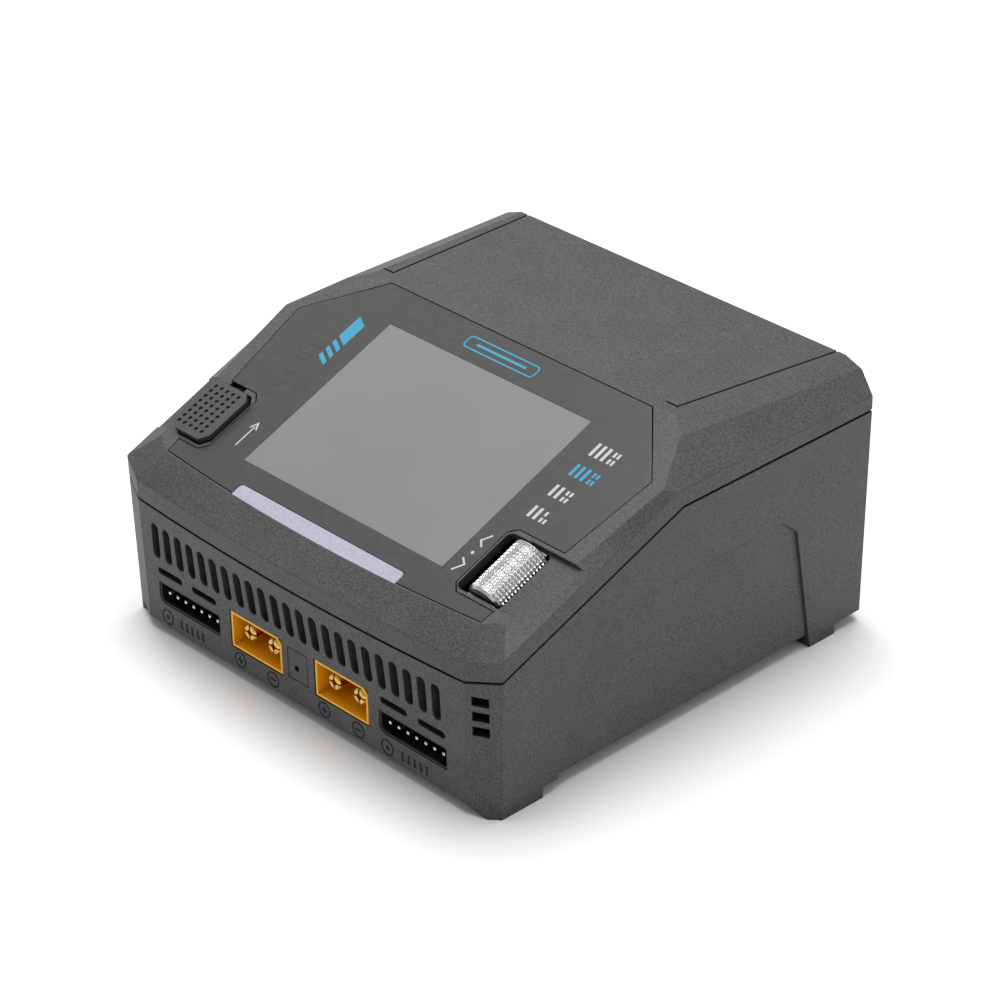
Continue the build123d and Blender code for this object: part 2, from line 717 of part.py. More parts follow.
def upper_cover():
    """Moulded top: bevels, panel frame, lens pocket, roller well, button pocket and posts."""
    form = case_form()
    solid = (form - case_form(WALL)) - lower_zone()
    solid -= (form - case_form(SEAM_DEPTH)) & lower_zone(SEAM_GAP)
    shell_core = case_form(1.2)
    posts = Part()
    for x, y in post_places():
        posts += rod_z(x, y, POST_FOOT, POST_RADIUS, HEIGHT)
    for x, s in panel_post_places():
        posts += panel_rod(x, s, -UI_BOARD_DEPTH, 2.6, UI_BOARD_DEPTH + 9)
    posts += panel_block(-FAR, BUTTON_RIGHT + 2.6, BUTTON_LOW - 2.0, BUTTON_HIGH + 2.8, -4.6, -1.5)
    solid += posts & shell_core
    left, right, low, high = roller_window()
    solid -= plate(lens_outline(LENS_GAP), -LENS_THICK, 9)
    solid -= plate(bar_front(0.1), -LENS_THICK, 9)
    solid -= plate(screen_outline(LCD_MARGIN), -9, 9)
    solid -= plate(button_outline(BUTTON_GAP, 9.0), -POCKET_DEPTH, 9)
    solid -= panel_block(HINGE_X - 2.2, HINGE_X + 2.2, BUTTON_HIGH - 2, HINGE_S + 0.9, -3.1, 9)
    pin = HINGE_PIN_RADIUS + RUNNING_GAP
    solid -= cross_rod(HINGE_X - 3.6, HINGE_S, HINGE_H, pin, 7.2)
    solid -= panel_rod(STEM_X, STEM_S, -9, STEM_RADIUS + 0.9, 18)
    middle = Pos((left + right) / 2, (low + high) / 2)
    window = middle * RectangleRounded(right - left, high - low, WINDOW_CORNER)
    solid -= plate(window, -12, 9)
    solid -= panel_block((left + right) / 2, HALF_W + 9, low, high + 0.2, -LEDGE_DROP, 9)
    solid -= panel_block(left, ROLLER_X + 6.7, high - 1, high + 6.5, -6, -1.5)
    solid -= panel_block(-BAR_HALF + 3.8, BAR_HALF - 3.8, -1.4, 0.2, -6, 0)
    for x, s in panel_post_places():
        solid -= panel_rod(x, s, -UI_BOARD_DEPTH - 1, SMALL_SCREW_RADIUS, 7.0)
    for x, y in post_places():
        solid -= rod_z(x, y, POST_FOOT - 1, SCREW_RADIUS, 10)
    solid -= roof_grooves()
    return solid


def roof_grooves():
    """The fine hooked grooves in the roof."""
    front_y = RIDGE_Y + 2.9
    turn = degrees(atan2(3.5, REAR_Y - front_y))
    fall = REAR_DROP / (REAR_Y - RIDGE_Y)
    run = REAR_Y + 4 - front_y
    cutters = Part()
    for side in (-1, 1):
        start = Pos(side * ROOF_GROOVE_X, front_y, 0)
        cutters += start * Rot(0, 0, -side * turn) * block(-0.25, 0.25, -0.2, run, -9, 9)
        cutters += start * block(-3.0, 0.25, -0.25, 0.25, -9, 9)
    far_y = REAR_Y + 9
    depth = 0.4
    points = [
        (RIDGE_Y, HEIGHT - depth),
        (far_y, HEIGHT - depth - fall * (far_y - RIDGE_Y)),
        (far_y, HEIGHT + 4),
        (RIDGE_Y, HEIGHT + 4),
    ]
    return (Pos(0, 0, HEIGHT) * cutters) & slab(points, Plane.YZ, FAR)


# ---------------------------------------------------------------- display
def display_lens():
    """Dark glossy front pane with a window for the display."""
    face = lens_outline() - bar_outline(0.1) - screen_outline()
    return plate(face, -LENS_THICK, 0)


def screen_pane():
    """Clear pane set flush in the lens over the display."""
    return plate(screen_outline(-0.05), -LENS_THICK, -0.05)


def lcd_panel():
    """Display glass under the pane."""
    return plate(screen_outline(LCD_MARGIN - 0.2), -LENS_THICK - LCD_THICK, -LENS_THICK)


def lcd_frame():
    """Backlight tray of the display, under the cover."""
    base = -LENS_THICK - LCD_THICK
    return plate(screen_outline(LCD_MARGIN + 1.6), base - 2.4, base)


def lcd_ribbon():
    """Flat ribbon folded from the display's back to the control board."""
    base = -LENS_THICK - LCD_THICK - 2.4
    start = SCREEN_START + 2.0
    lower = -UI_BOARD_DEPTH
    flat = panel_block(-9, 9, start, start + 8, base - 0.15, base)
    fall = panel_block(-9, 9, start, start + 0.15, lower, base)
    foot = panel_block(-9, 9, start, start + 8, lower, lower + 0.15)
    return flat + fall + foot


def status_light_bar():
    """Diffuser strip in the lens's front notch, with a light guide below it."""
    face = bar_front()
    reach = BAR_HALF - 4.0
    return plate(face, -LENS_THICK, -0.05) + panel_block(-reach, reach, -1.2, 0.0, -4.6, -0.5)


def light_bar_leds():
    """Strip of small lamps under the light guide."""
    reach = BAR_HALF - 4.5
    strip = panel_block(-reach, reach, -2.0, 1.2, -6.6, -5.8)
    for i in range(6):
        x = (i - 2.5) * 7.0
        strip += panel_block(x - 1.2, x + 1.2, -1.2, 0.0, -5.9, -4.6)
    return strip


# ---------------------------------------------------------------- control board
def control_board():
    """Circuit board parallel to the panel that carries the switches."""
    low = -UI_BOARD_DEPTH - BOARD
    solid = panel_block(-UI_BOARD_HALF, UI_BOARD_HALF, 3.0, 53.5, low, -UI_BOARD_DEPTH)
    for x, s in panel_post_places():
        solid -= panel_rod(x, s, low - 1, SMALL_SCREW_RADIUS + SCREW_CLEAR, BOARD + 2)
    return solid


def control_board_screws():
    """Four pan-head screws up into the panel's posts."""
    low = -UI_BOARD_DEPTH - BOARD
    screws = []
    for x, s in panel_post_places():
        head = panel_rod(x, s, low - 1.4, SMALL_HEAD_RADIUS, 1.4)
        slot = panel_block(x - 1.2, x + 1.2, s - 0.2, s + 0.2, low - 1.5, low - 0.8)
        slot += panel_block(x - 0.2, x + 0.2, s - 1.2, s + 1.2, low - 1.5, low - 0.8)
        screws.append(head + panel_rod(x, s, low - 0.5, SMALL_SCREW_RADIUS, 6.6) - slot)
    return group(screws)


def microcontroller():
    """Square chip with a row of leads on each side, under the control board."""
    top = -UI_BOARD_DEPTH - BOARD
    x, s, half = -8.0, 32.0, 5.0
    solid = panel_block(x - half, x + half, s - half, s + half, top - 1.5, top - 0.15)
    for i in range(12):
        along = (i - 5.5) * 0.75
        solid += panel_block(x + along - 0.15, x + along + 0.15, s - half - 1, s + half + 1, top - 0.3, top)
        solid += panel_block(x - half - 1, x + half + 1, s + along - 0.15, s + along + 0.15, top - 0.3, top)
    return solid


def buzzer():
    """Round sounder under the control board."""
    top = -UI_BOARD_DEPTH - BOARD
    return panel_rod(22.0, 38.0, top - 5.5, 6.0, 5.5) - panel_rod(22.0, 38.0, top - 6.0, 1.2, 2.0)


def exit_switch():
    """Square tact switch under the exit button's stem."""
    base = -UI_BOARD_DEPTH
    body = panel_block(STEM_X - 2.4, STEM_X + 3.0, STEM_S - 3, STEM_S + 3, base, base + 3.4)
    return body + panel_rod(STEM_X, STEM_S, base + 3.3, 1.6, 1.0)


def exit_button():
    """Rocking plate with a dimpled grip, hinge tab, hinge pin and switch stem."""
    low = BUTTON_PROUD - BUTTON_THICK
    solid = plate(button_outline(0.0, 0.0), low, BUTTON_PROUD)
    tab = 1.6
    solid += panel_block(HINGE_X - tab, HINGE_X + tab, BUTTON_HIGH - 1.6, HINGE_S + 0.6, -2.5, -1.2)
    solid += panel_block(HINGE_X - tab, HINGE_X + tab, BUTTON_HIGH - 1.6, BUTTON_HIGH, -2.5, 0)
    solid += cross_rod(HINGE_X - 3.4, HINGE_S, HINGE_H, HINGE_PIN_RADIUS, 6.8)
    foot = -UI_BOARD_DEPTH + 4.3 + 0.75
    solid += panel_rod(STEM_X, STEM_S, foot, STEM_RADIUS, low - foot + 0.3)
    for i in range(5):
        for k in range(8):
            x = BUTTON_RIGHT - 2.4 - 1.75 * i
            s = BUTTON_LOW + 1.9 + 1.5 * k
            solid -= panel_rod(x, s, BUTTON_PROUD - 0.35, 0.45, 1.0)
    return solid


# ---------------------------------------------------------------- roller
def roller():
    """Knurled roller with a smooth chamfered front end."""
    start = ROLLER_S - ROLLER_LENGTH / 2
    body = Cylinder(ROLLER_RADIUS, ROLLER_LENGTH, align=CENTRED_UP)
    body = chamfer(body.edges().filter_by(GeomType.CIRCLE), 0.5)
    teeth = 36
    groove_depth = 0.35
    grooves = Part()
    for i in range(teeth):
        place = Rot(0, 0, 360 / teeth * i) * Pos(ROLLER_RADIUS, 0, 1.3) * Rot(0, 0, 45)
        side = 2 * groove_depth / 2**0.5
        grooves += place * Box(side, side, ROLLER_LENGTH, align=CENTRED_UP)
    body -= grooves
    body -= Cylinder(AXLE_RADIUS, 2 * ROLLER_LENGTH)
    return on_panel(Pos(ROLLER_X, start, ROLLER_H) * Rot(-90, 0, 0) * body)


def roller_axle():
    """Stepped axle through the roller into the turn sensor."""
    start = ROLLER_S - ROLLER_LENGTH / 2
    front = start - 0.8
    solid = slope_rod(ROLLER_X, ROLLER_H, start, AXLE_RADIUS, ROLLER_LENGTH)
    return solid + slope_rod(ROLLER_X, ROLLER_H, front, JOURNAL_RADIUS, ROLLER_LENGTH + 0.8 + 5.9)


def roller_carrier():
    """Folded metal cradle with a bearing plate at each end of the roller."""
    start = ROLLER_S - ROLLER_LENGTH / 2
    end = ROLLER_S + ROLLER_LENGTH / 2
    base = carrier_base()
    half = 3.6
    top = ROLLER_H + 1.9
    solid = panel_block(ROLLER_X - half, ROLLER_X + half, start - 0.8, end + 6.3, base, base + 0.7)
    solid += panel_block(ROLLER_X - half, ROLLER_X + half, start - 0.8, start - 0.3, base, top)
    solid += panel_block(ROLLER_X - half, ROLLER_X + half, end + 0.2, end + 0.7, base, top)
    return solid - slope_rod(ROLLER_X, ROLLER_H, start - 3, JOURNAL_RADIUS + RUNNING_GAP, ROLLER_LENGTH + 9)


def carrier_base():
    """Height of the underside of the roller's cradle."""
    return ROLLER_H - ROLLER_RADIUS - 1.6


def encoder_body():
    """Turn sensor on the cradle behind the roller."""
    end = ROLLER_S + ROLLER_LENGTH / 2
    low = carrier_base() + 0.7
    solid = panel_block(ROLLER_X - 3.9, ROLLER_X + 3.9, end + 0.7, end + 6.3, low, -1.65)
    return solid - slope_rod(ROLLER_X, ROLLER_H, end, JOURNAL_RADIUS + RUNNING_GAP, 9)


def roller_guide():
    """Two cheeks on the control board that keep the cradle upright."""
    start = ROLLER_S - ROLLER_LENGTH / 2
    end = ROLLER_S + ROLLER_LENGTH / 2 + 6.3
    half = 3.6 + RUNNING_GAP
    base = -UI_BOARD_DEPTH
    top = ROLLER_H - (ROLLER_RADIUS**2 - (half - 0.5) ** 2) ** 0.5
    solid = panel_block(ROLLER_X - half - 1.1, ROLLER_X + half + 1.1, start - 0.5, end, base, top)
    solid -= panel_block(ROLLER_X - half, ROLLER_X + half, start - 9, end + 9, base + 0.5, top + 1)
    solid -= panel_block(ROLLER_X - FAR, ROLLER_X + FAR, end - 5.8, end + 9, carrier_base() - 0.1, top + 1)
    solid -= panel_block(ROLLER_X - 3.2, ROLLER_X + 3.2, ROLLER_S - 3.2, ROLLER_S + 3.2, base - 1, base + 1)
    return solid


def roller_switch():
    """Flat tact switch under the cradle."""
    base = -UI_BOARD_DEPTH
    top = carrier_base() - PRESS_TRAVEL - 0.1
    body = panel_block(ROLLER_X - 3, ROLLER_X + 3, ROLLER_S - 3, ROLLER_S + 3, base, top - 0.6)
    return body + panel_rod(ROLLER_X, ROLLER_S, top - 0.7, 1.5, 0.7)


# ---------------------------------------------------------------- power board
def board_blank(x0, x1, y0, y1):
    """A circuit board kept clear of the walls and of the case posts."""
    solid = block(x0, x1, y0, y1, BOARD_Z, BOARD_TOP) & case_form(WALL + 0.5)
    for x, y in post_places():
        solid -= rod_z(x, y, BOARD_Z - 1, COLLAR_RADIUS + 0.5, BOARD + 2)
    for x, y in board_screw_places():
        solid -= rod_z(x, y, BOARD_Z - 1, SMALL_SCREW_RADIUS + SCREW_CLEAR, BOARD + 2)
    return solid


def power_board():
    """Front circuit board with the outputs and the converter."""
    return board_blank(-49, 49, FRONT_Y + WALL + 0.6, 8.0)


def ac_board():
    """Rear circuit board with the mains supply."""
    solid = board_blank(-49, 49, 10.5, 39.0)
    return solid + board_blank(-41, 0.5, 38.0, REAR_INSIDE - 0.6)


def board_screws():
    """Pan-head screws that hold both boards to the floor."""
    screws = []
    for x, y in board_screw_places():
        head = rod_z(x, y, BOARD_TOP, SMALL_HEAD_RADIUS, 1.4)
        shank = rod_z(x, y, FOOT_HEIGHT + 1.2, SMALL_SCREW_RADIUS, BOARD_TOP - FOOT_HEIGHT - 0.9)
        slot = block(x - 1.2, x + 1.2, y - 0.2, y + 0.2, BOARD_TOP + 0.8, BOARD_TOP + 2)
        slot += block(x - 0.2, x + 0.2, y - 1.2, y + 1.2, BOARD_TOP + 0.8, BOARD_TOP + 2)
        screws.append(head + shank - slot)
    return group(screws)


def two_pole_housing():
    """Two-pole socket body, drawn with its mouth at y = 0: one upper corner is cut."""
    half_w, half_h = SOCKET_WIDTH / 2, SOCKET_HEIGHT / 2
    cut = SOCKET_KEY
    outer = make_face(
        Polyline(
            (-half_w, -half_h),
            (half_w, -half_h),
            (half_w, half_h - cut),
            (half_w - cut, half_h),
            (-half_w, half_h),
            close=True,
        )
    )
    in_w, in_h = half_w - SOCKET_WALL, half_h - SOCKET_WALL
    inner = make_face(
        Polyline(
            (-in_w, -in_h),
            (in_w, -in_h),
            (in_w, in_h - cut + 0.2),
            (in_w - cut + 0.2, in_h),
            (-in_w, in_h),
            close=True,
        )
    )
    solid = front_prism(outer, 0, SOCKET_DEPTH) - front_prism(inner, -1, SOCKET_DEPTH - 4.0)
    for x in (-POLE_PITCH / 2, POLE_PITCH / 2):
        solid -= rod_y(x, 0, 0, POLE_RADIUS, SOCKET_DEPTH + 1)
    return solid


def split_poles():
    """The socket's two round poles with crossed slits and solder tails."""
    poles = []
    for x in (-POLE_PITCH / 2, POLE_PITCH / 2):
        pole = rod_y(x, 1.2, 0, POLE_RADIUS, SOCKET_DEPTH + 1.4)
        pole = chamfer(pole.edges().filter_by(GeomType.CIRCLE), 0.3)
        pole -= block(x - 0.2, x + 0.2, 0, 9.0, -3, 3)
        pole -= block(x - 3, x + 3, 0, 9.0, -0.2, 0.2)
        pole -= rod_y(x, 0, 0, 0.65, 6.0)
        poles.append(pole)
    return group(poles)


def output_socket(side):
    """Orange two-pole output socket, flush with the front."""
    return Pos(side * SOCKET_PITCH / 2, FRONT_Y, SOCKET_Z) * two_pole_housing()


def output_contacts():
    """Split poles of both output sockets."""
    places = [Pos(side * SOCKET_PITCH / 2, FRONT_Y, SOCKET_Z) for side in (-1, 1)]
    return group([place * split_poles() for place in places])


def balance_header(side):
    """Open-fronted shroud of a balance header, whose lip lines its window in the case."""
    x = side * HEADER_X
    half = HEADER_LENGTH / 2
    front = FRONT_Y + WALL
    high = BOARD_TOP + HEADER_HEIGHT
    solid = block(x - half, x + half, front, front + HEADER_DEPTH, BOARD_TOP, high)
    window = Pos(side * HEADER_X + HEADER_WINDOW_SHIFT, HEADER_Z - 0.2) * header_window()
    lining = offset(window, amount=-HEADER_FIT, kind=Kind.INTERSECTION)
    hollow = offset(window, amount=-HEADER_FIT - HEADER_LINING, kind=Kind.INTERSECTION)
    solid += front_prism(lining, FRONT_Y + 0.2, front + 1)
    solid -= front_prism(hollow, FRONT_Y - 1, front + HEADER_DEPTH - 2.2)
    for pin_x in header_pin_places(x):
        solid -= pin_block(pin_x)
    return solid


def header_pin_places(x):
    """Places of a header's pins along x."""
    return [x + (i - (HEADER_WAYS - 1) / 2) * HEADER_PITCH for i in range(HEADER_WAYS)]


def pin_block(x):
    """One square header pin."""
    half = PIN_SIDE / 2
    z = HEADER_Z - 0.1
    pin = block(x - half, x + half, FRONT_Y + 0.6, FRONT_Y + WALL + HEADER_DEPTH + 1.2, z - half, z + half)
    return chamfer(pin.faces().sort_by(Axis.Y)[0].edges(), 0.15)


def balance_pins():
    """Square pins of both balance headers, bent down to the board."""
    pins = []
    half = PIN_SIDE / 2
    back = FRONT_Y + WALL + HEADER_DEPTH + 1.2
    for side in (-1, 1):
        for x in header_pin_places(side * HEADER_X):
            leg = block(x - half, x + half, back - PIN_SIDE, back, BOARD_TOP, HEADER_Z - 0.1 + half)
            pins.append(pin_block(x) + leg)
    return group(pins)


def port_plug():
    """Flush plug of the service port with a small square hole."""
    half_w, half_h = PORT_WIDTH / 2, PORT_HEIGHT / 2
    left, right = PORT_X - half_w, PORT_X + half_w
    solid = block(left, right, FRONT_Y + 0.1, FRONT_Y + 3.2, PORT_Z - half_h, PORT_Z + half_h)
    return solid - block(PORT_X - 0.95, PORT_X + 0.25, FRONT_Y - 1, FRONT_Y + 2.6, PORT_Z - 1.2, PORT_Z)


def signal_port():
    """Small service connector on the board behind the plug."""
    half_w = PORT_WIDTH / 2
    front = FRONT_Y + 3.2
    solid = block(PORT_X - half_w, PORT_X + half_w, front, front + 6.5, BOARD_TOP, PORT_Z + 2.6)
    left, right = PORT_X - half_w + 0.8, PORT_X + half_w - 0.8
    return solid - block(left, right, front - 1, front + 5.5, BOARD_TOP + 1, PORT_Z + 1.8)


def power_inductors():
    """Two shielded power inductors."""
    solids = []
    for side in (-1, 1):
        x, y = side * 12.6, -23.0
        body = block(x - 6.5, x + 6.5, y - 6.5, y + 6.5, BOARD_TOP + 0.3, BOARD_TOP + 9.0)
        body = chamfer(body.edges().filter_by(Axis.Z), 1.6)
        body += block(x - 2.5, x + 2.5, y - 6.9, y + 6.9, BOARD_TOP, BOARD_TOP + 0.8)
        solids.append(body)
    return group(solids)


def bulk_capacitors():
    """Round capacitors beside the inductors."""
    solids = []
    for side in (-1, 1):
        for x, y in ((26.5, -27.5), (26.5, -16.0), (38.0, -21.5)):
            can = rod_z(side * x, y, BOARD_TOP, 5.0, 16.0)
            can = chamfer(can.edges().filter_by(GeomType.CIRCLE).sort_by(Axis.Z)[-1], 0.6)
            low, high = BOARD_TOP + 15.8, BOARD_TOP + 17
            can -= block(side * x - 3.2, side * x + 3.2, y - 0.15, y + 0.15, low, high)
            can -= block(side * x - 0.15, side * x + 0.15, y - 3.2, y + 3.2, low, high)
            solids.append(can)
    return group(solids)


def heat_sink():
    """Finned block behind the power transistors."""
    solid = block(-36, 36, -6.0, -3.0, BOARD_TOP, BOARD_TOP + 17)
    fins = 15
    for i in range(fins):
        x = (i - (fins - 1) / 2) * 5.0
        solid += block(x - 0.7, x + 0.7, -3.2, 3.6, BOARD_TOP, BOARD_TOP + 17)
    return solid


def power_transistors():
    """Six flat power transistors standing against the heat sink."""
    solids = []
    for i in range(6):
        x = (i - 2.5) * 12.0
        body = block(x - 5, x + 5, -10.4, -6.7, BOARD_TOP + 2.5, BOARD_TOP + 11.5)
        tab = block(x - 5, x + 5, -7.3, -6.0, BOARD_TOP + 2.5, BOARD_TOP + 16)
        tab -= rod_y(x, -9, BOARD_TOP + 13.8, 1.7, 6)
        legs = Part()
        for step in (-2.54, 0, 2.54):
            legs += block(x + step - 0.4, x + step + 0.4, -9.0, -8.4, BOARD_TOP, BOARD_TOP + 3)
        solids.append(body + tab + legs)
    return group(solids)


# ---------------------------------------------------------------- mains board
def transformer_core():
    """Ferrite core of the mains transformer: two stacked E shapes."""
    x, y, z = 26.0, 24.0, BOARD_TOP + 1.0
    solid = block(x - 15, x + 15, y - 7.5, y + 7.5, z, z + 21)
    windows = block(x - 11, x - 4.5, y - 9, y + 9, z + 3.2, z + 17.8)
    windows += block(x + 4.5, x + 11, y - 9, y + 9, z + 3.2, z + 17.8)
    return solid - windows


def transformer_coil():
    """Taped coil on the transformer's middle leg."""
    x, y, z = 26.0, 24.0, BOARD_TOP + 1.0
    solid = block(x - 10.8, x + 10.8, y - 12.5, y + 12.5, z + 3.4, z + 17.6)
    solid = fillet(solid.edges().filter_by(Axis.Z), 3.0)
    solid -= block(x - 4.5, x + 4.5, y - 7.5, y + 7.5, z, z + 21)
    for side in (-1, 1):
        solid += block(x - 9, x + 9, y + side * 10.2 - 1.3, y + side * 10.2 + 1.3, BOARD_TOP, z + 4)
    return solid


def mains_capacitor():
    """Tall round capacitor of the mains supply."""
    can = rod_z(-12.0, 22.0, BOARD_TOP, 8.0, 25.0)
    return chamfer(can.edges().filter_by(GeomType.CIRCLE).sort_by(Axis.Z)[-1], 0.8)


def rectifier():
    """Flat bridge rectifier standing on its leads."""
    solid = block(1.5, 5.5, 14.0, 33.0, BOARD_TOP + 2.5, BOARD_TOP + 16.5)
    solid -= block(0, 7, 13, 15.2, BOARD_TOP + 14, BOARD_TOP + 20)
    for y in (16.5, 21.2, 25.9, 30.6):
        solid += block(3.1, 3.9, y - 0.6, y + 0.6, BOARD_TOP, BOARD_TOP + 3)
    return solid


def emi_choke_core():
    """Ring core of the mains choke."""
    place = Pos(-33.0, 21.5, BOARD_TOP + 1.5)
    return place * (Cylinder(8.0, 6.0, align=CENTRED_UP) - Cylinder(4.4, 20.0))


def emi_choke_winding():
    """Two wound quarters round the choke's ring."""
    place = Pos(-33.0, 21.5, BOARD_TOP)
    ring = Cylinder(9.0, 9.0, align=CENTRED_UP) - Cylinder(3.4, 30.0)
    ring -= Pos(0, 0, 1.5) * (Cylinder(8.0, 6.0, align=CENTRED_UP) - Cylinder(4.4, 30.0))
    wedge = Box(9.0, 22, 30)
    return place * (ring - wedge)


def fuse():
    """Tubular fuse in two spring clips at the board's edge."""
    x, y0, y1 = -46.0, 18.0, 38.0
    z = BOARD_TOP + 4.2
    tube = rod_y(x, y0, z, 2.6, y1 - y0)
    clips = block(x - 1.9, x + 1.9, y0 + 1, y0 + 4, BOARD_TOP, z)
    clips += block(x - 1.9, x + 1.9, y1 - 4, y1 - 1, BOARD_TOP, z)
    return tube + clips


# ---------------------------------------------------------------- rear connectors
def ac_inlet_housing():
    """Three-pin mains inlet, flush with the rear and held by an inner flange."""
    half_w, half_h = INLET_WIDTH / 2, INLET_HEIGHT / 2
    x, z = INLET_X, INLET_Z
    front = REAR_Y - INLET_DEPTH
    solid = block(x - half_w, x + half_w, front, REAR_Y, z - half_h, z + half_h)
    rim_w, rim_h = half_w + 1.4, half_h + 1.4
    solid += block(x - rim_w, x + rim_w, REAR_INSIDE - 1.6, REAR_INSIDE, z - rim_h, z + rim_h)
    mouth = make_face(
        Polyline(
            (x - 12.0, z - 8.1),
            (x + 12.0, z - 8.1),
            (x + 12.0, z + 3.6),
            (x + 7.6, z + 8.1),
            (x - 7.6, z + 8.1),
            (x - 12.0, z + 3.6),
            close=True,
        )
    )
    solid -= front_prism(mouth, REAR_Y - 16.0, REAR_Y + 1)
    for blade in inlet_blades():
        solid -= blade
    return solid


def inlet_blades():
    """The inlet's three blades."""
    blades = []
    for x, z in ((INLET_X - 7.0, INLET_Z - 2.0), (INLET_X + 7.0, INLET_Z - 2.0), (INLET_X, INLET_Z + 2.0)):
        blades.append(block(x - 1.0, x + 1.0, REAR_Y - INLET_DEPTH - 5.0, REAR_Y - 4.5, z - 2.0, z + 2.0))
    return blades


def ac_inlet_pins():
    """Blades of the mains inlet."""
    return group(inlet_blades())


def rear_socket_place():
    """Places a two-pole socket in the rear wall, facing back."""
    return Pos(DC_X, REAR_Y, SOCKET_Z) * Rot(0, 0, 180)


def dc_input_socket():
    """Two-pole battery input socket in the rear."""
    return rear_socket_place() * two_pole_housing()


def dc_input_contacts():
    """Split poles of the battery input."""
    return rear_socket_place() * split_poles()


def usb_port():
    """Metal USB shell with its plastic tongue."""
    half_w, half_h = USB_WIDTH / 2, USB_HEIGHT / 2
    front = REAR_Y - 14.0
    shell = block(USB_X - half_w, USB_X + half_w, front, REAR_Y, USB_Z - half_h, USB_Z + half_h)
    in_w, in_h = half_w - 0.4, half_h - 0.4
    shell -= block(USB_X - in_w, USB_X + in_w, front + 2, REAR_Y + 1, USB_Z - in_h, USB_Z + in_h)
    tongue = block(USB_X - 5.6, USB_X + 5.6, front + 1, REAR_Y - 1.0, USB_Z - 0.1, USB_Z + 1.8)
    foot = block(USB_X - half_w, USB_X + half_w, front, front + 9, BOARD_TOP, USB_Z)
    return shell + tongue + (foot & block(-FAR, FAR, front, front + 1.9, 0, FAR))


# ---------------------------------------------------------------- fan and case screws
def fan_frame():
    """Square frame of the cooling fan with a three-armed hub seat."""
    half = FAN_SIZE / 2
    y0 = REAR_INSIDE - FAN_THICK
    place = Pos(FAN_X, 0, FAN_Z)
    solid = place * block(-half, half, y0, REAR_INSIDE, -half, half)
    solid -= rod_y(FAN_X, y0 - 1, FAN_Z, half - 1.2, FAN_THICK + 2)
    arms = rod_y(0, y0, 0, 9.0, 1.5)
    for i in range(3):
        arms += Rot(0, 120 * i, 0) * block(-1.0, 1.0, y0, y0 + 1.5, 8.0, half - 0.6)
    solid += place * arms
    solid += place * rod_y(0, y0 + 1.0, 0, 1.5, 5.0)
    for x, z in fan_screw_places():
        solid -= rod_y(x, y0 - 1, z, SCREW_RADIUS, FAN_THICK + 2)
    return solid


def fan_rotor():
    """Fan hub with seven slanted blades, turning on the frame's stub."""
    y0 = REAR_INSIDE - FAN_THICK
    hub = rod_y(0, y0 + 2.0, 0, 9.5, FAN_THICK - 3.0)
    blades = Part()
    reach = FAN_SIZE / 2 - 1.2 - FAN_CLEAR
    for i in range(7):
        blade = Pos(0, y0 + FAN_THICK / 2 + 0.5, 0) * Rot(0, 0, 38) * Box(0.9, 8.4, 2 * reach)
        blades += Rot(0, 360 / 7 * i, 0) * (blade & block(-9, 9, -FAR, FAR, 6, reach + 3))
    disc = rod_y(0, y0 + 2.0, 0, reach, FAN_THICK - 3.0)
    solid = hub + (blades & disc)
    solid -= rod_y(0, y0 + 1, 0, 1.5 + RUNNING_GAP, 5.4)
    return Pos(FAN_X, 0, FAN_Z) * solid


def fan_screws():
    """Four screws through the rear wall into the fan."""
    screws = []
    for x, z in fan_screw_places():
        head = rod_y(x, REAR_Y - 1.4, z, SCREW_RADIUS + SCREW_CLEAR, 1.4)
        slot = block(x - 0.9, x + 0.9, REAR_Y - 0.6, REAR_Y + 1, z - 0.2, z + 0.2)
        slot += block(x - 0.2, x + 0.2, REAR_Y - 0.6, REAR_Y + 1, z - 0.9, z + 0.9)
        screws.append(rod_y(x, REAR_Y - 10.0, z, SCREW_RADIUS, 10.0) + head - slot)
    return group(screws)


def case_screws():
    """Four long screws up through the feet into the cover's posts."""
    screws = []
    for x, y in post_places():
        head = rod_z(x, y, HEAD_SEAT - 2.4, SCREW_HEAD_RADIUS, 2.4)
        shank = rod_z(x, y, HEAD_SEAT - 0.5, SCREW_RADIUS, POST_FOOT + 8.0 - HEAD_SEAT)
        socket = Pos(x, y, HEAD_SEAT - 2.6) * extrude(RegularPolygon(1.45, 6), amount=1.6)
        screws.append(head + shank - socket)
    return group(screws)


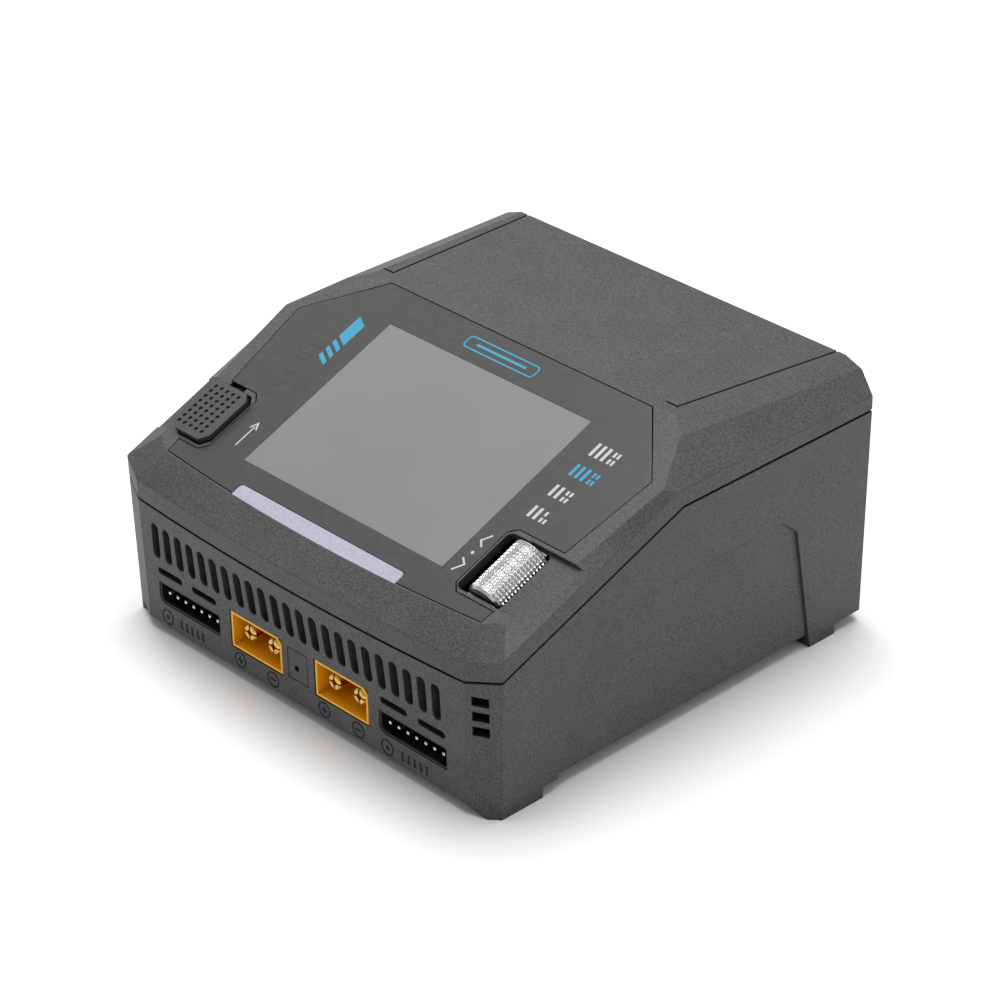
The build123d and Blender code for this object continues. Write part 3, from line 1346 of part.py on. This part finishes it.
# ---------------------------------------------------------------- output
NODES = {
    "lower_case": lower_case,
    "upper_cover": upper_cover,
    "display_lens": display_lens,
    "screen_pane": screen_pane,
    "lcd_panel": lcd_panel,
    "lcd_frame": lcd_frame,
    "lcd_ribbon": lcd_ribbon,
    "status_light_bar": status_light_bar,
    "light_bar_leds": light_bar_leds,
    "control_board": control_board,
    "control_board_screws": control_board_screws,
    "microcontroller": microcontroller,
    "buzzer": buzzer,
    "exit_button": exit_button,
    "exit_switch": exit_switch,
    "roller": roller,
    "roller_axle": roller_axle,
    "roller_carrier": roller_carrier,
    "encoder_body": encoder_body,
    "roller_guide": roller_guide,
    "roller_switch": roller_switch,
    "power_board": power_board,
    "output_socket_left": lambda: output_socket(-1),
    "output_socket_right": lambda: output_socket(1),
    "output_contacts": output_contacts,
    "balance_header_left": lambda: balance_header(-1),
    "balance_header_right": lambda: balance_header(1),
    "balance_pins": balance_pins,
    "port_plug": port_plug,
    "signal_port": signal_port,
    "power_inductors": power_inductors,
    "bulk_capacitors": bulk_capacitors,
    "heat_sink": heat_sink,
    "power_transistors": power_transistors,
    "ac_board": ac_board,
    "transformer_core": transformer_core,
    "transformer_coil": transformer_coil,
    "mains_capacitor": mains_capacitor,
    "rectifier": rectifier,
    "emi_choke_core": emi_choke_core,
    "emi_choke_winding": emi_choke_winding,
    "fuse": fuse,
    "ac_inlet_housing": ac_inlet_housing,
    "ac_inlet_pins": ac_inlet_pins,
    "dc_input_socket": dc_input_socket,
    "dc_input_contacts": dc_input_contacts,
    "usb_port": usb_port,
    "fan_frame": fan_frame,
    "fan_rotor": fan_rotor,
    "fan_screws": fan_screws,
    "board_screws": board_screws,
    "case_screws": case_screws,
}

os.makedirs("parts", exist_ok=True)
for name, make in NODES.items():
    export_step(make(), f"parts/{name}.step")
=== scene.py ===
"""Looks of the balance battery charger: finishes for its moulded, metal and electronic parts,
printed marks on the lens, a knurled roller, and a plain studio."""

import json
import math

import bpy
import numpy as np
from mathutils import Matrix, Vector


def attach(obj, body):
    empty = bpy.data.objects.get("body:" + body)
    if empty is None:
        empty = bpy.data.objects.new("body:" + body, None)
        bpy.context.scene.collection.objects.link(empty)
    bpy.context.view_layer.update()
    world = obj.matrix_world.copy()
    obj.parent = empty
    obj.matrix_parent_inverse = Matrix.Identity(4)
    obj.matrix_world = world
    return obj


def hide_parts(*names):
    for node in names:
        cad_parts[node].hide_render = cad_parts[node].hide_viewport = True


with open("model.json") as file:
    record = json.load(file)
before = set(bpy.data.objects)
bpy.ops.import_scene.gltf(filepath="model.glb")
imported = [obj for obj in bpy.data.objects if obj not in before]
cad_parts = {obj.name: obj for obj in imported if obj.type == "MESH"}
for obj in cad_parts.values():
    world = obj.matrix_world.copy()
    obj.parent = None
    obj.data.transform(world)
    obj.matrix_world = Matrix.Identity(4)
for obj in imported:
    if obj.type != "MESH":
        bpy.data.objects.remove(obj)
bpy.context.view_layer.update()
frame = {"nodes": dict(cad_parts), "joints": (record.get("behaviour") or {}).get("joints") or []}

nodes = frame["nodes"]
joints = {j["name"]: j for j in frame["joints"]}
MM = 0.001


# ---------------------------------------------------------------- small helpers
def linear(hex_colour):
    """An sRGB hex colour as linear RGBA."""
    value = np.array([int(hex_colour[i:i + 2], 16) for i in (1, 3, 5)]) / 255.0
    value = np.where(value <= 0.04045, value / 12.92, ((value + 0.055) / 1.055) ** 2.4)
    return (*value, 1.0)


def add(tree, kind, settings=None, **inputs):
    """Adds a node, sets its attributes, and sets or links its inputs by name or place."""
    node = tree.nodes.new(kind)
    for key, value in (settings or {}).items():
        setattr(node, key, value)
    for key, value in inputs.items():
        by_place = key[0] == "i" and key[1:].isdigit()
        socket = node.inputs[int(key[1:]) if by_place else key.replace("_", " ")]
        if isinstance(value, bpy.types.NodeSocket):
            tree.links.new(value, socket)
        else:
            socket.default_value = value
    return node


def start_material(name):
    """An empty material with its output and a Principled shader: (material, tree, shader)."""
    material = bpy.data.materials.new(name)
    material.use_nodes = True
    tree = material.node_tree
    tree.nodes.clear()
    shader = add(tree, "ShaderNodeBsdfPrincipled")
    output = add(tree, "ShaderNodeOutputMaterial")
    tree.links.new(shader.outputs[0], output.inputs[0])
    return material, tree, shader


def object_point(tree):
    """The place on the piece, in metres."""
    return add(tree, "ShaderNodeTexCoord").outputs["Object"]


def per_mm(size_mm):
    """The texture scale that gives features of a size in mm."""
    return 1.0 / (size_mm * MM)


def two_tone(tree, value, dark, light, low, high):
    """A ramp between two colours, over a range of the value."""
    ramp = add(tree, "ShaderNodeValToRGB", Fac=value)
    for element, colour, place in zip(ramp.color_ramp.elements, (dark, light), (low, high)):
        element.position = place
        element.color = linear(colour)
    return ramp


def spread(tree, value, low, high):
    """The value mapped from 0..1 to a range."""
    return add(tree, "ShaderNodeMapRange", Value=value, To_Min=low, To_Max=high)


def relief(tree, height, strength, depth_mm, normal):
    """Bump of a depth in mm, over a normal."""
    return add(
        tree,
        "ShaderNodeBump",
        Strength=strength,
        Distance=depth_mm * MM,
        Height=height,
        Normal=normal,
    )


def moulded(name, dark, light, rough, grain_mm, depth_mm, edge_mm=0.35, specular=0.5, hollow_shade=0.12):
    """Injection-moulded plastic: fine eroded grain from the mould, faint cloudiness in the colour,
    slightly uneven sheen, painted shade that darkens the base colour in hollows, seams and vents by
    ambient occlusion, and edges that catch the light as a small radius does."""
    material, tree, shader = start_material(name)
    place = object_point(tree)
    grain_scale = per_mm(grain_mm)
    grain = add(tree, "ShaderNodeTexNoise", Vector=place, Scale=grain_scale, Detail=3.0, Roughness=0.65)
    cloud = add(tree, "ShaderNodeTexNoise", Vector=place, Scale=per_mm(9.0), Detail=2.0)
    mix = add(
        tree,
        "ShaderNodeMath",
        {"operation": "MULTIPLY_ADD"},
        i0=cloud.outputs["Fac"],
        i1=0.12,
        i2=grain.outputs["Fac"],
    )
    ramp = two_tone(tree, mix.outputs[0], dark, light, 0.42, 0.7)
    sheen = spread(tree, grain.outputs["Fac"], rough - 0.06, rough + 0.08)
    edge = add(tree, "ShaderNodeBevel", {"samples": 4}, Radius=edge_mm * MM)
    bump = relief(tree, grain.outputs["Fac"], 1.0, depth_mm, edge.outputs[0])
    # Painted shade: ambient occlusion darkens the base colour in hollows, seams and vents, down to the
    # hollow factor of its colour.
    shelter = add(tree, "ShaderNodeAmbientOcclusion", {"samples": 6}, Distance=7.0 * MM)
    painted_shade = add(
        tree,
        "ShaderNodeMapRange",
        i0=shelter.outputs["AO"],
        From_Min=0.2,
        From_Max=0.75,
        To_Min=hollow_shade,
        To_Max=1.0,
    )
    shaded = add(
        tree,
        "ShaderNodeVectorMath",
        {"operation": "SCALE"},
        i0=ramp.outputs["Color"],
        Scale=painted_shade.outputs["Result"],
    )
    tree.links.new(shaded.outputs["Vector"], shader.inputs["Base Color"])
    tree.links.new(sheen.outputs["Result"], shader.inputs["Roughness"])
    tree.links.new(bump.outputs[0], shader.inputs["Normal"])
    shader.inputs["IOR"].default_value = 1.53
    shader.inputs["Specular IOR Level"].default_value = specular
    return material


def metal(name, dark, light, rough, grain_mm, stretch=(1, 1, 1), edge_mm=0.1, depth_mm=0.004):
    """A metal surface with fine tool or plating marks, stretched along the working direction."""
    material, tree, shader = start_material(name)
    place = object_point(tree)
    turned = add(tree, "ShaderNodeMapping", Vector=place, Scale=stretch)
    grain = add(tree, "ShaderNodeTexNoise", Vector=turned.outputs[0], Scale=per_mm(grain_mm), Detail=2.0)
    ramp = two_tone(tree, grain.outputs["Fac"], dark, light, 0.35, 0.7)
    sheen = spread(tree, grain.outputs["Fac"], rough - 0.05, rough + 0.1)
    edge = add(tree, "ShaderNodeBevel", {"samples": 4}, Radius=edge_mm * MM)
    bump = relief(tree, grain.outputs["Fac"], 0.5, depth_mm, edge.outputs[0])
    tree.links.new(ramp.outputs["Color"], shader.inputs["Base Color"])
    tree.links.new(sheen.outputs["Result"], shader.inputs["Roughness"])
    tree.links.new(bump.outputs[0], shader.inputs["Normal"])
    shader.inputs["Metallic"].default_value = 1.0
    return material


# ---------------------------------------------------------------- finishes
eroded_abs = moulded("spark-eroded ABS, charcoal", "#323232", "#545454", 0.52, 0.42, 0.07, specular=0.4)
button_abs = moulded("fine-textured ABS, charcoal", "#363636", "#484848", 0.55, 0.3, 0.03, 0.3, 0.4)
satin_acrylic = moulded("satin acrylic lens, smoke", "#343434", "#393939", 0.34, 1.2, 0.002, 0.12)
diffuser = moulded("milky polycarbonate diffuser", "#a2a1b2", "#b0afbf", 0.4, 0.6, 0.002, edge_mm=0.15)
orange_nylon = moulded(
    "glass-filled nylon, orange", "#f7a60c", "#ffb91c", 0.36, 0.5, 0.006, edge_mm=0.2, hollow_shade=0.85
)
black_nylon = moulded("glass-filled nylon, black", "#141414", "#1f1f1f", 0.45, 0.5, 0.008, edge_mm=0.15)
chip_epoxy = moulded("transfer-moulded epoxy, black", "#1a1a1a", "#262626", 0.6, 0.3, 0.01)
sleeve = moulded("shrink sleeve, dark blue", "#0f1320", "#1a2032", 0.35, 2.0, 0.004)
ferrite = moulded("sintered ferrite, grey-black", "#232323", "#323232", 0.7, 0.25, 0.02)
yellow_tape = moulded("polyester winding tape, yellow", "#b98d1c", "#d6aa2e", 0.35, 1.5, 0.01)
fuse_ceramic = moulded("pressed ceramic, cream", "#c9c2b0", "#dcd6c6", 0.5, 0.4, 0.01)
white_mask = moulded("white solder mask", "#bfbfb8", "#d6d6d0", 0.4, 1.0, 0.003)
rolled_steel = metal("cold-rolled steel, nickel-plated", "#8c8c8c", "#b4b4b4", 0.35, 0.25, (1, 6, 1))
black_steel = metal("case-hardened steel, black oxide", "#232325", "#38383b", 0.42, 0.2)
gold_plate = metal("copper alloy, gold-plated", "#e0b458", "#f8d688", 0.26, 0.3)
tin_plate = metal("brass pin, tin-plated", "#d9d9d6", "#f2f2ee", 0.25, 0.3)
bright_aluminium = metal("turned aluminium, clear anodised", "#c6c6c8", "#dcdcdd", 0.3, 0.3, edge_mm=0.04)
extruded_aluminium = metal("extruded aluminium", "#a2a2a6", "#bcbcc0", 0.4, 0.3, (1, 1, 6))
enamel_copper = metal("enamelled copper wire", "#9c4f20", "#c26a30", 0.3, 0.3)


def circuit_board():
    """Glass-epoxy laminate under green solder mask: gloss over a faint weave 0.5 mm apart, with
    copper runs that show through as a slightly lighter pattern of right-angled tracks."""
    material, tree, shader = start_material("glass-epoxy board, green mask")
    place = object_point(tree)
    pattern = {"offset": 0.37, "squash": 0.7}
    tracks = add(tree, "ShaderNodeTexBrick", pattern, Vector=place, Scale=per_mm(3.2))
    tracks.inputs["Color1"].default_value = linear("#0f3d24")
    tracks.inputs["Color2"].default_value = linear("#12472a")
    tracks.inputs["Mortar"].default_value = linear("#1d6a3f")
    tracks.inputs["Mortar Size"].default_value = 0.03
    weave = add(tree, "ShaderNodeTexNoise", Vector=place, Scale=per_mm(0.5))
    edge = add(tree, "ShaderNodeBevel", {"samples": 4}, Radius=0.1 * MM)
    bump = relief(tree, weave.outputs["Fac"], 0.3, 0.01, edge.outputs[0])
    tree.links.new(tracks.outputs["Color"], shader.inputs["Base Color"])
    tree.links.new(bump.outputs[0], shader.inputs["Normal"])
    shader.inputs["Roughness"].default_value = 0.32
    return material


def polyimide():
    """Thin amber film ribbon with copper lines along it, 0.5 mm apart."""
    material, tree, shader = start_material("polyimide ribbon, amber")
    place = object_point(tree)
    lines = add(tree, "ShaderNodeTexWave", {"bands_direction": "X"}, Vector=place, Scale=per_mm(10.0))
    ramp = add(tree, "ShaderNodeValToRGB", Fac=lines.outputs["Fac"])
    ramp.color_ramp.elements[0].color = linear("#7a3f0c")
    ramp.color_ramp.elements[1].color = linear("#b4691c")
    tree.links.new(ramp.outputs["Color"], shader.inputs["Base Color"])
    shader.inputs["Roughness"].default_value = 0.3
    return material


def display_glass():
    """Anti-glare film over an unlit display: an even mid grey with the faintest cloud and a soft
    reflection, from a roughness that the film's fine etch gives it."""
    material, tree, shader = start_material("anti-glare display film")
    place = object_point(tree)
    cloud = add(tree, "ShaderNodeTexNoise", Vector=place, Scale=per_mm(18.0), Detail=1.0)
    ramp = add(tree, "ShaderNodeValToRGB", Fac=cloud.outputs["Fac"])
    ramp.color_ramp.elements[0].position = 0.3
    ramp.color_ramp.elements[1].position = 0.7
    ramp.color_ramp.elements[0].color = linear("#767676")
    ramp.color_ramp.elements[1].color = linear("#7a7a7a")
    etch = add(tree, "ShaderNodeTexNoise", Vector=place, Scale=per_mm(0.2))
    bump = add(tree, "ShaderNodeBump", Strength=0.2, Distance=0.002 * MM, Height=etch.outputs["Fac"])
    tree.links.new(ramp.outputs["Color"], shader.inputs["Base Color"])
    tree.links.new(bump.outputs[0], shader.inputs["Normal"])
    shader.inputs["Roughness"].default_value = 0.42
    return material


def ink(name, dark, light):
    """Screen-printed ink: flat, slightly uneven, duller than the lens beneath."""
    return moulded(name, dark, light, 0.5, 0.25, 0.003, edge_mm=0.02)


board_mask = circuit_board()
ribbon_film = polyimide()
display_film = display_glass()
grey_ink = ink("screen-print ink, light grey", "#b0b0b0", "#c4c4c4")
blue_ink = ink("screen-print ink, sky blue", "#0f86a8", "#1f9cc0")
dark_ink = ink("screen-print ink, dark grey", "#2a2a2a", "#303030")

FINISH = {
    eroded_abs: ["lower_case", "upper_cover", "port_plug"],
    button_abs: ["exit_button"],
    satin_acrylic: ["display_lens"],
    display_film: ["screen_pane", "lcd_panel"],
    diffuser: ["status_light_bar"],
    orange_nylon: ["output_socket_left", "output_socket_right", "dc_input_socket"],
    gold_plate: ["output_contacts", "dc_input_contacts"],
    black_nylon: [
        "balance_header_left", "balance_header_right", "signal_port", "ac_inlet_housing",
        "fan_frame", "fan_rotor", "buzzer", "exit_switch", "encoder_body", "roller_guide",
        "roller_switch",
    ],
    tin_plate: ["balance_pins", "ac_inlet_pins"],
    bright_aluminium: ["roller"],
    rolled_steel: ["roller_axle", "roller_carrier", "lcd_frame", "usb_port"],
    black_steel: ["control_board_screws", "fan_screws", "board_screws", "case_screws"],
    board_mask: ["control_board", "power_board", "ac_board"],
    ribbon_film: ["lcd_ribbon"],
    white_mask: ["light_bar_leds"],
    chip_epoxy: ["microcontroller", "power_transistors", "rectifier"],
    ferrite: ["power_inductors", "transformer_core", "emi_choke_core"],
    sleeve: ["bulk_capacitors", "mains_capacitor"],
    extruded_aluminium: ["heat_sink"],
    yellow_tape: ["transformer_coil"],
    enamel_copper: ["emi_choke_winding"],
    fuse_ceramic: ["fuse"],
}
for material, names in FINISH.items():
    for name in names:
        mesh = nodes[name].data
        if not mesh.materials:
            mesh.materials.append(material)
        for slot in nodes[name].material_slots:
            slot.material = material


# ---------------------------------------------------------------- the panel's own axes
across = np.array([1.0, 0.0, 0.0])
up_slope = np.array(joints["roller_turn"]["axis"])
up_slope /= np.linalg.norm(up_slope)
outward = np.cross(across, up_slope)


def corners(name):
    """A node's points as an array."""
    mesh = nodes[name].data
    points = np.empty(3 * len(mesh.vertices), dtype=np.float32)
    mesh.vertices.foreach_get("co", points)
    return points.reshape(-1, 3).astype(float)


pane = corners("screen_pane")
lens = corners("display_lens")
PANE_START = 6.15
slope_zero = (pane @ up_slope).min() - PANE_START * MM
lens_top = (lens @ outward).max()


def on_panel(flat, height):
    """Points given as x and distance up the slope in mm, put at a height in mm above the lens."""
    flat = np.asarray(flat, dtype=float) * MM
    up = slope_zero + flat[:, 1:2]
    return flat[:, :1] * across + up * up_slope + (lens_top + height * MM) * outward


def flat_prints(name, shapes, material, body="case", low=0.005, high=0.03):
    """Printed marks as thin closed plates: each flat outline is one ring low and one ring high, with
    quads between the rings and one face on each end."""
    points, faces, start = [], [], 0
    for shape in shapes:
        count = len(shape)
        area = 0.5 * np.sum(shape[:, 0] * np.roll(shape[:, 1], -1) - np.roll(shape[:, 0], -1) * shape[:, 1])
        ring = shape if area > 0 else shape[::-1]
        points += [on_panel(ring, low), on_panel(ring, high)]
        a = np.arange(count)
        b = np.roll(a, -1)
        faces += (np.stack([a, b, b + count, a + count], axis=1) + start).tolist()
        faces += [(a + count + start).tolist(), (a[::-1] + start).tolist()]
        start += 2 * count
    mesh = bpy.data.meshes.new(name)
    mesh.from_pydata(np.concatenate(points).tolist(), [], faces)
    mesh.update()
    mesh.materials.append(material)
    piece = bpy.data.objects.new(name, mesh)
    bpy.context.scene.collection.objects.link(piece)
    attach(piece, body)
    return piece


def stroke(a, b, width):
    """A straight bar from a to b: a rectangle of the given width round the line."""
    a, b = np.array(a, float), np.array(b, float)
    along = (b - a) / np.linalg.norm(b - a)
    side = np.array([-along[1], along[0]]) * width / 2
    return np.array([a - side, b - side, b + side, a + side])


def chevron(a, tip, b, width):
    """Two bars that meet in a mitred tip."""
    a, tip, b = (np.array(p, float) for p in (a, tip, b))
    u, v = (tip - a) / np.linalg.norm(tip - a), (b - tip) / np.linalg.norm(b - tip)
    nu, nv = np.array([-u[1], u[0]]), np.array([-v[1], v[0]])
    mitre = (nu + nv) / (1 + nu @ nv)
    half = width / 2
    one_side = [a - nu * half, tip - mitre * half, b - nv * half]
    return np.array([*one_side, b + nv * half, tip + mitre * half, a + nu * half])


def disc(x, s, radius, count=20):
    """A round dot."""
    turn = np.linspace(0, 2 * math.pi, count, endpoint=False)
    return np.stack([x + radius * np.cos(turn), s + radius * np.sin(turn)], axis=1)


def rounded_ring(x0, x1, s0, s1, radius, width, count=8):
    """A rounded rectangle's outline as four straight bars and four bent corners, in quads."""
    turn = np.linspace(0, math.pi / 2, count)
    left, right, low, high = x0 + radius, x1 - radius, s0 + radius, s1 - radius
    centres = [(right, high), (left, high), (left, low), (right, low)]
    outer, inner = [], []
    for quarter, (cx, cs) in enumerate(centres):
        angle = turn + quarter * math.pi / 2
        way = np.stack([np.cos(angle), np.sin(angle)], axis=1)
        outer.append(np.array([cx, cs]) + way * radius)
        inner.append(np.array([cx, cs]) + way * (radius - width))
    outer, inner = np.concatenate(outer), np.concatenate(inner)
    count = len(outer)
    after = (np.arange(count) + 1) % count
    return [np.array([outer[i], outer[j], inner[j], inner[i]]) for i, j in enumerate(after)]


BAR_PITCH = 1.5
BAR_WIDTH = 0.75
DASH_PITCH = 1.0
DASH_WIDTH = 0.6
DASH_RISE = 0.55
DASH_SHARE = 0.38


def figure_row(x, s, height, wide, small):
    """One line of the rating marks: tall bars, then a column of two dashes and a column of a few."""
    bars = [stroke((x + i * BAR_PITCH, s), (x + i * BAR_PITCH, s + height), BAR_WIDTH) for i in range(wide)]
    tail = x + wide * BAR_PITCH + 0.1
    for place, dashes in ((tail, 2), (tail + DASH_PITCH, small)):
        for k in range(dashes):
            start = s + height * DASH_RISE * k
            end = s + height * (DASH_RISE * k + DASH_SHARE)
            bars.append(stroke((place, start), (place, end), DASH_WIDTH))
    return bars


grey_marks = [
    chevron((32.24, 13.5), (30.96, 14.8), (32.28, 16.8), 0.42),
    disc(31.65, 11.7, 0.4),
    chevron((30.84, 9.9), (32.35, 8.7), (30.92, 6.5), 0.42),
    *figure_row(34.7, 23.8, 3.0, 2, 1),
    *figure_row(34.7, 29.8, 3.0, 2, 2),
    *figure_row(34.7, 41.4, 3.4, 3, 2),
    stroke((-33.4, 8.0), (-33.4, 13.6), 0.35),
    chevron((-34.3, 13.0), (-33.4, 14.6), (-32.5, 13.0), 0.4),
]
flat_prints("rating_marks", grey_marks, grey_ink)



def slash(s, height):
    """A slanted bar across the accent mark's width, starting at a place up the slope."""
    left, right, drop = -36.2, -33.2, 1.6
    return np.array([(left, s), (right, s - drop), (right, s - drop + height), (left, s + height)])


slashes = [slash(34.6, 1.1), slash(36.6, 1.1), slash(38.6, 1.1), slash(40.6, 6.2)]
blue_marks = [*figure_row(34.7, 35.6, 3.2, 3, 2), *slashes]
blue_marks += rounded_ring(-10.4, 9.6, 51.0, 54.3, 1.1, 0.35)
blue_marks += [stroke((-7.4, 52.65), (6.6, 52.65), 0.6)]
flat_prints("accent_marks", blue_marks, blue_ink)
shadow_marks = [stroke((-40.6, s), (-37.4, s), 1.7) for s in (25.0, 29.0, 33.0, 37.0)]
flat_prints("tone_marks", shadow_marks, dark_ink)


# ---------------------------------------------------------------- roller
def knurled_roller():
    """Square-knurled sleeve: radius as a function of angle and length is the blank less a groove
    depth times the larger of two triangle waves, one round it and one along it, fading to a smooth
    chamfered end.  The flat-topped crests stand 32 round and 0.85 mm apart along."""
    joint = joints["roller_turn"]
    centre = np.array(joint["pos_m"])
    points = corners("roller") - centre
    along = points @ up_slope
    start, end = along.min(), along.max()
    radius = np.linalg.norm(points - np.outer(along, up_slope), axis=1).max()
    around, length = 324, 181
    turn = np.linspace(0, 2 * math.pi, around, endpoint=False)
    run = np.linspace(0, 1, length)
    t, r = np.meshgrid(turn, run, indexing="xy")
    teeth, rings_along = 32, round((end - start) / (0.85 * MM))

    def ridge(p):
        """A wave that is 0 on the crest and 1 in the groove, with straight flanks."""
        return np.abs((p % 1.0) * 2 - 1)

    one = ridge(t / (2 * math.pi) * teeth)
    two = ridge(r * rings_along)
    groove = np.clip((np.maximum(one, two) - 0.2) / 0.8, 0, 1)
    fade = np.clip((r - 0.045) / 0.015, 0, 1) * np.clip((0.975 - r) / 0.015, 0, 1)
    surface = radius - groove * fade * 0.5 * MM
    chamfer = np.clip((0.035 - r) / 0.035, 0, 1) + np.clip((r - 0.975) / 0.025, 0, 1)
    surface = surface - chamfer * 0.45 * MM
    side_a = np.array([1.0, 0.0, 0.0])
    side_b = np.cross(up_slope, side_a)
    s = start + (end - start) * r
    skin = centre + s[..., None] * up_slope + surface[..., None] * (
        np.cos(t)[..., None] * side_a + np.sin(t)[..., None] * side_b
    )
    index = np.arange(length * around).reshape(length, around)
    nxt = np.roll(index, -1, axis=1)
    quads = np.stack([index[:-1], nxt[:-1], nxt[1:], index[1:]], axis=-1).reshape(-1, 4)
    caps = []
    inner_radius = np.linspace(1.0, 0.36, 5)[1:]
    rings = [skin.reshape(-1, 3)]
    total = length * around
    for row, sign in ((0, 1), (length - 1, -1)):
        previous = index[row]
        for share in inner_radius:
            ring_radius = surface[row] * share
            ring = centre + s[row, 0] * up_slope + ring_radius[:, None] * (
                np.cos(turn)[:, None] * side_a + np.sin(turn)[:, None] * side_b
            )
            here = total + np.arange(around)
            total += around
            rings.append(ring)
            quad = np.stack([previous, here, np.roll(here, -1), np.roll(previous, -1)], axis=-1)
            caps.append(quad if sign > 0 else quad[:, ::-1])
            previous = here
        rings.append(ring.mean(axis=0, keepdims=True))
        tip = np.full(around, total)
        total += 1
        fan = np.stack([previous, tip, np.roll(previous, -1)], axis=-1)
        caps.append(fan if sign > 0 else fan[:, ::-1])
    faces = quads.tolist()
    for cap in caps:
        faces += cap.tolist()
    mesh = bpy.data.meshes.new("knurled_roller")
    mesh.from_pydata(np.concatenate(rings).tolist(), [], faces)
    mesh.update()
    mesh.materials.append(bright_aluminium)
    piece = bpy.data.objects.new("knurled_roller", mesh)
    bpy.context.scene.collection.objects.link(piece)
    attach(piece, "roller")
    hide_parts("roller")
    return piece


knurled_roller()


# ---------------------------------------------------------------- studio
def seamless_floor():
    """A wide pale sheet: a flat grid at ground level."""
    reach = 3.0
    side = np.linspace(-reach, reach, 9)
    x, y = np.meshgrid(side, side, indexing="xy")
    points = np.stack([x, y, np.zeros_like(x)], axis=-1).reshape(-1, 3)
    index = np.arange(81).reshape(9, 9)
    faces = np.stack([index[:-1, :-1], index[:-1, 1:], index[1:, 1:], index[1:, :-1]], axis=-1)
    faces = faces.reshape(-1, 4)
    mesh = bpy.data.meshes.new("floor")
    mesh.from_pydata(points.tolist(), [], faces.tolist())
    material, tree, shader = start_material("matt paper sweep, white")
    shader.inputs["Base Color"].default_value = linear("#fafafa")
    shader.inputs["Roughness"].default_value = 0.9
    mesh.materials.append(material)
    floor = bpy.data.objects.new("floor", mesh)
    bpy.context.scene.collection.objects.link(floor)


def soft_light(name, place, target, size, power):
    """A square area light at a place, aimed at a target."""
    data = bpy.data.lights.new(name, "AREA")
    data.shape = "SQUARE"
    data.size = size
    data.energy = power
    lamp = bpy.data.objects.new(name, data)
    place, target = Vector(place), Vector(target)
    lamp.rotation_mode = "QUATERNION"
    lamp.rotation_quaternion = (target - place).to_track_quat("-Z", "Y")
    lamp.location = place
    bpy.context.scene.collection.objects.link(lamp)


def view_camera():
    """The camera: azimuth, elevation and roll in degrees about a target in metres."""
    azimuth, elevation, roll = (math.radians(v) for v in (47.201, 30.140, -1.287))
    level = math.cos(elevation)
    back = Vector((math.sin(azimuth) * level, -math.cos(azimuth) * level, math.sin(elevation)))
    right = Vector((math.cos(azimuth), math.sin(azimuth), 0.0))
    up = back.cross(right)
    right_r = math.cos(roll) * right + math.sin(roll) * up
    up_r = -math.sin(roll) * right + math.cos(roll) * up
    data = bpy.data.cameras.new("camera")
    data.sensor_width = 36.0
    data.lens = 131.80
    data.shift_x = -0.005134
    data.shift_y = -0.005688
    data.clip_start, data.clip_end = 0.01, 20.0
    camera = bpy.data.objects.new("camera", data)
    place = Vector((0.000632, 0.003519, 0.027416)) + back * 0.732286
    camera.matrix_world = Matrix((
        (right_r.x, up_r.x, back.x, place.x),
        (right_r.y, up_r.y, back.y, place.y),
        (right_r.z, up_r.z, back.z, place.z),
        (0, 0, 0, 1),
    ))
    bpy.context.scene.collection.objects.link(camera)
    bpy.context.scene.camera = camera


seamless_floor()
soft_light("top softbox", (-0.1, 0.15, 1.1), (0, 0, 0.03), 0.8, 12.0)
soft_light("rear left softbox", (-1.0, 0.35, 0.5), (0, 0, 0.03), 0.5, 2.6)
soft_light("right softbox", (0.9, 0.3, 0.25), (0, 0, 0.03), 0.4, 0.9)
world = bpy.data.worlds.new("studio")
bpy.context.scene.world = world
world.use_nodes = True
world.node_tree.nodes["Background"].inputs["Color"].default_value = linear("#ffffff")
world.node_tree.nodes["Background"].inputs["Strength"].default_value = 0.42
view_camera()
bpy.context.scene.view_settings.view_transform = "Standard"
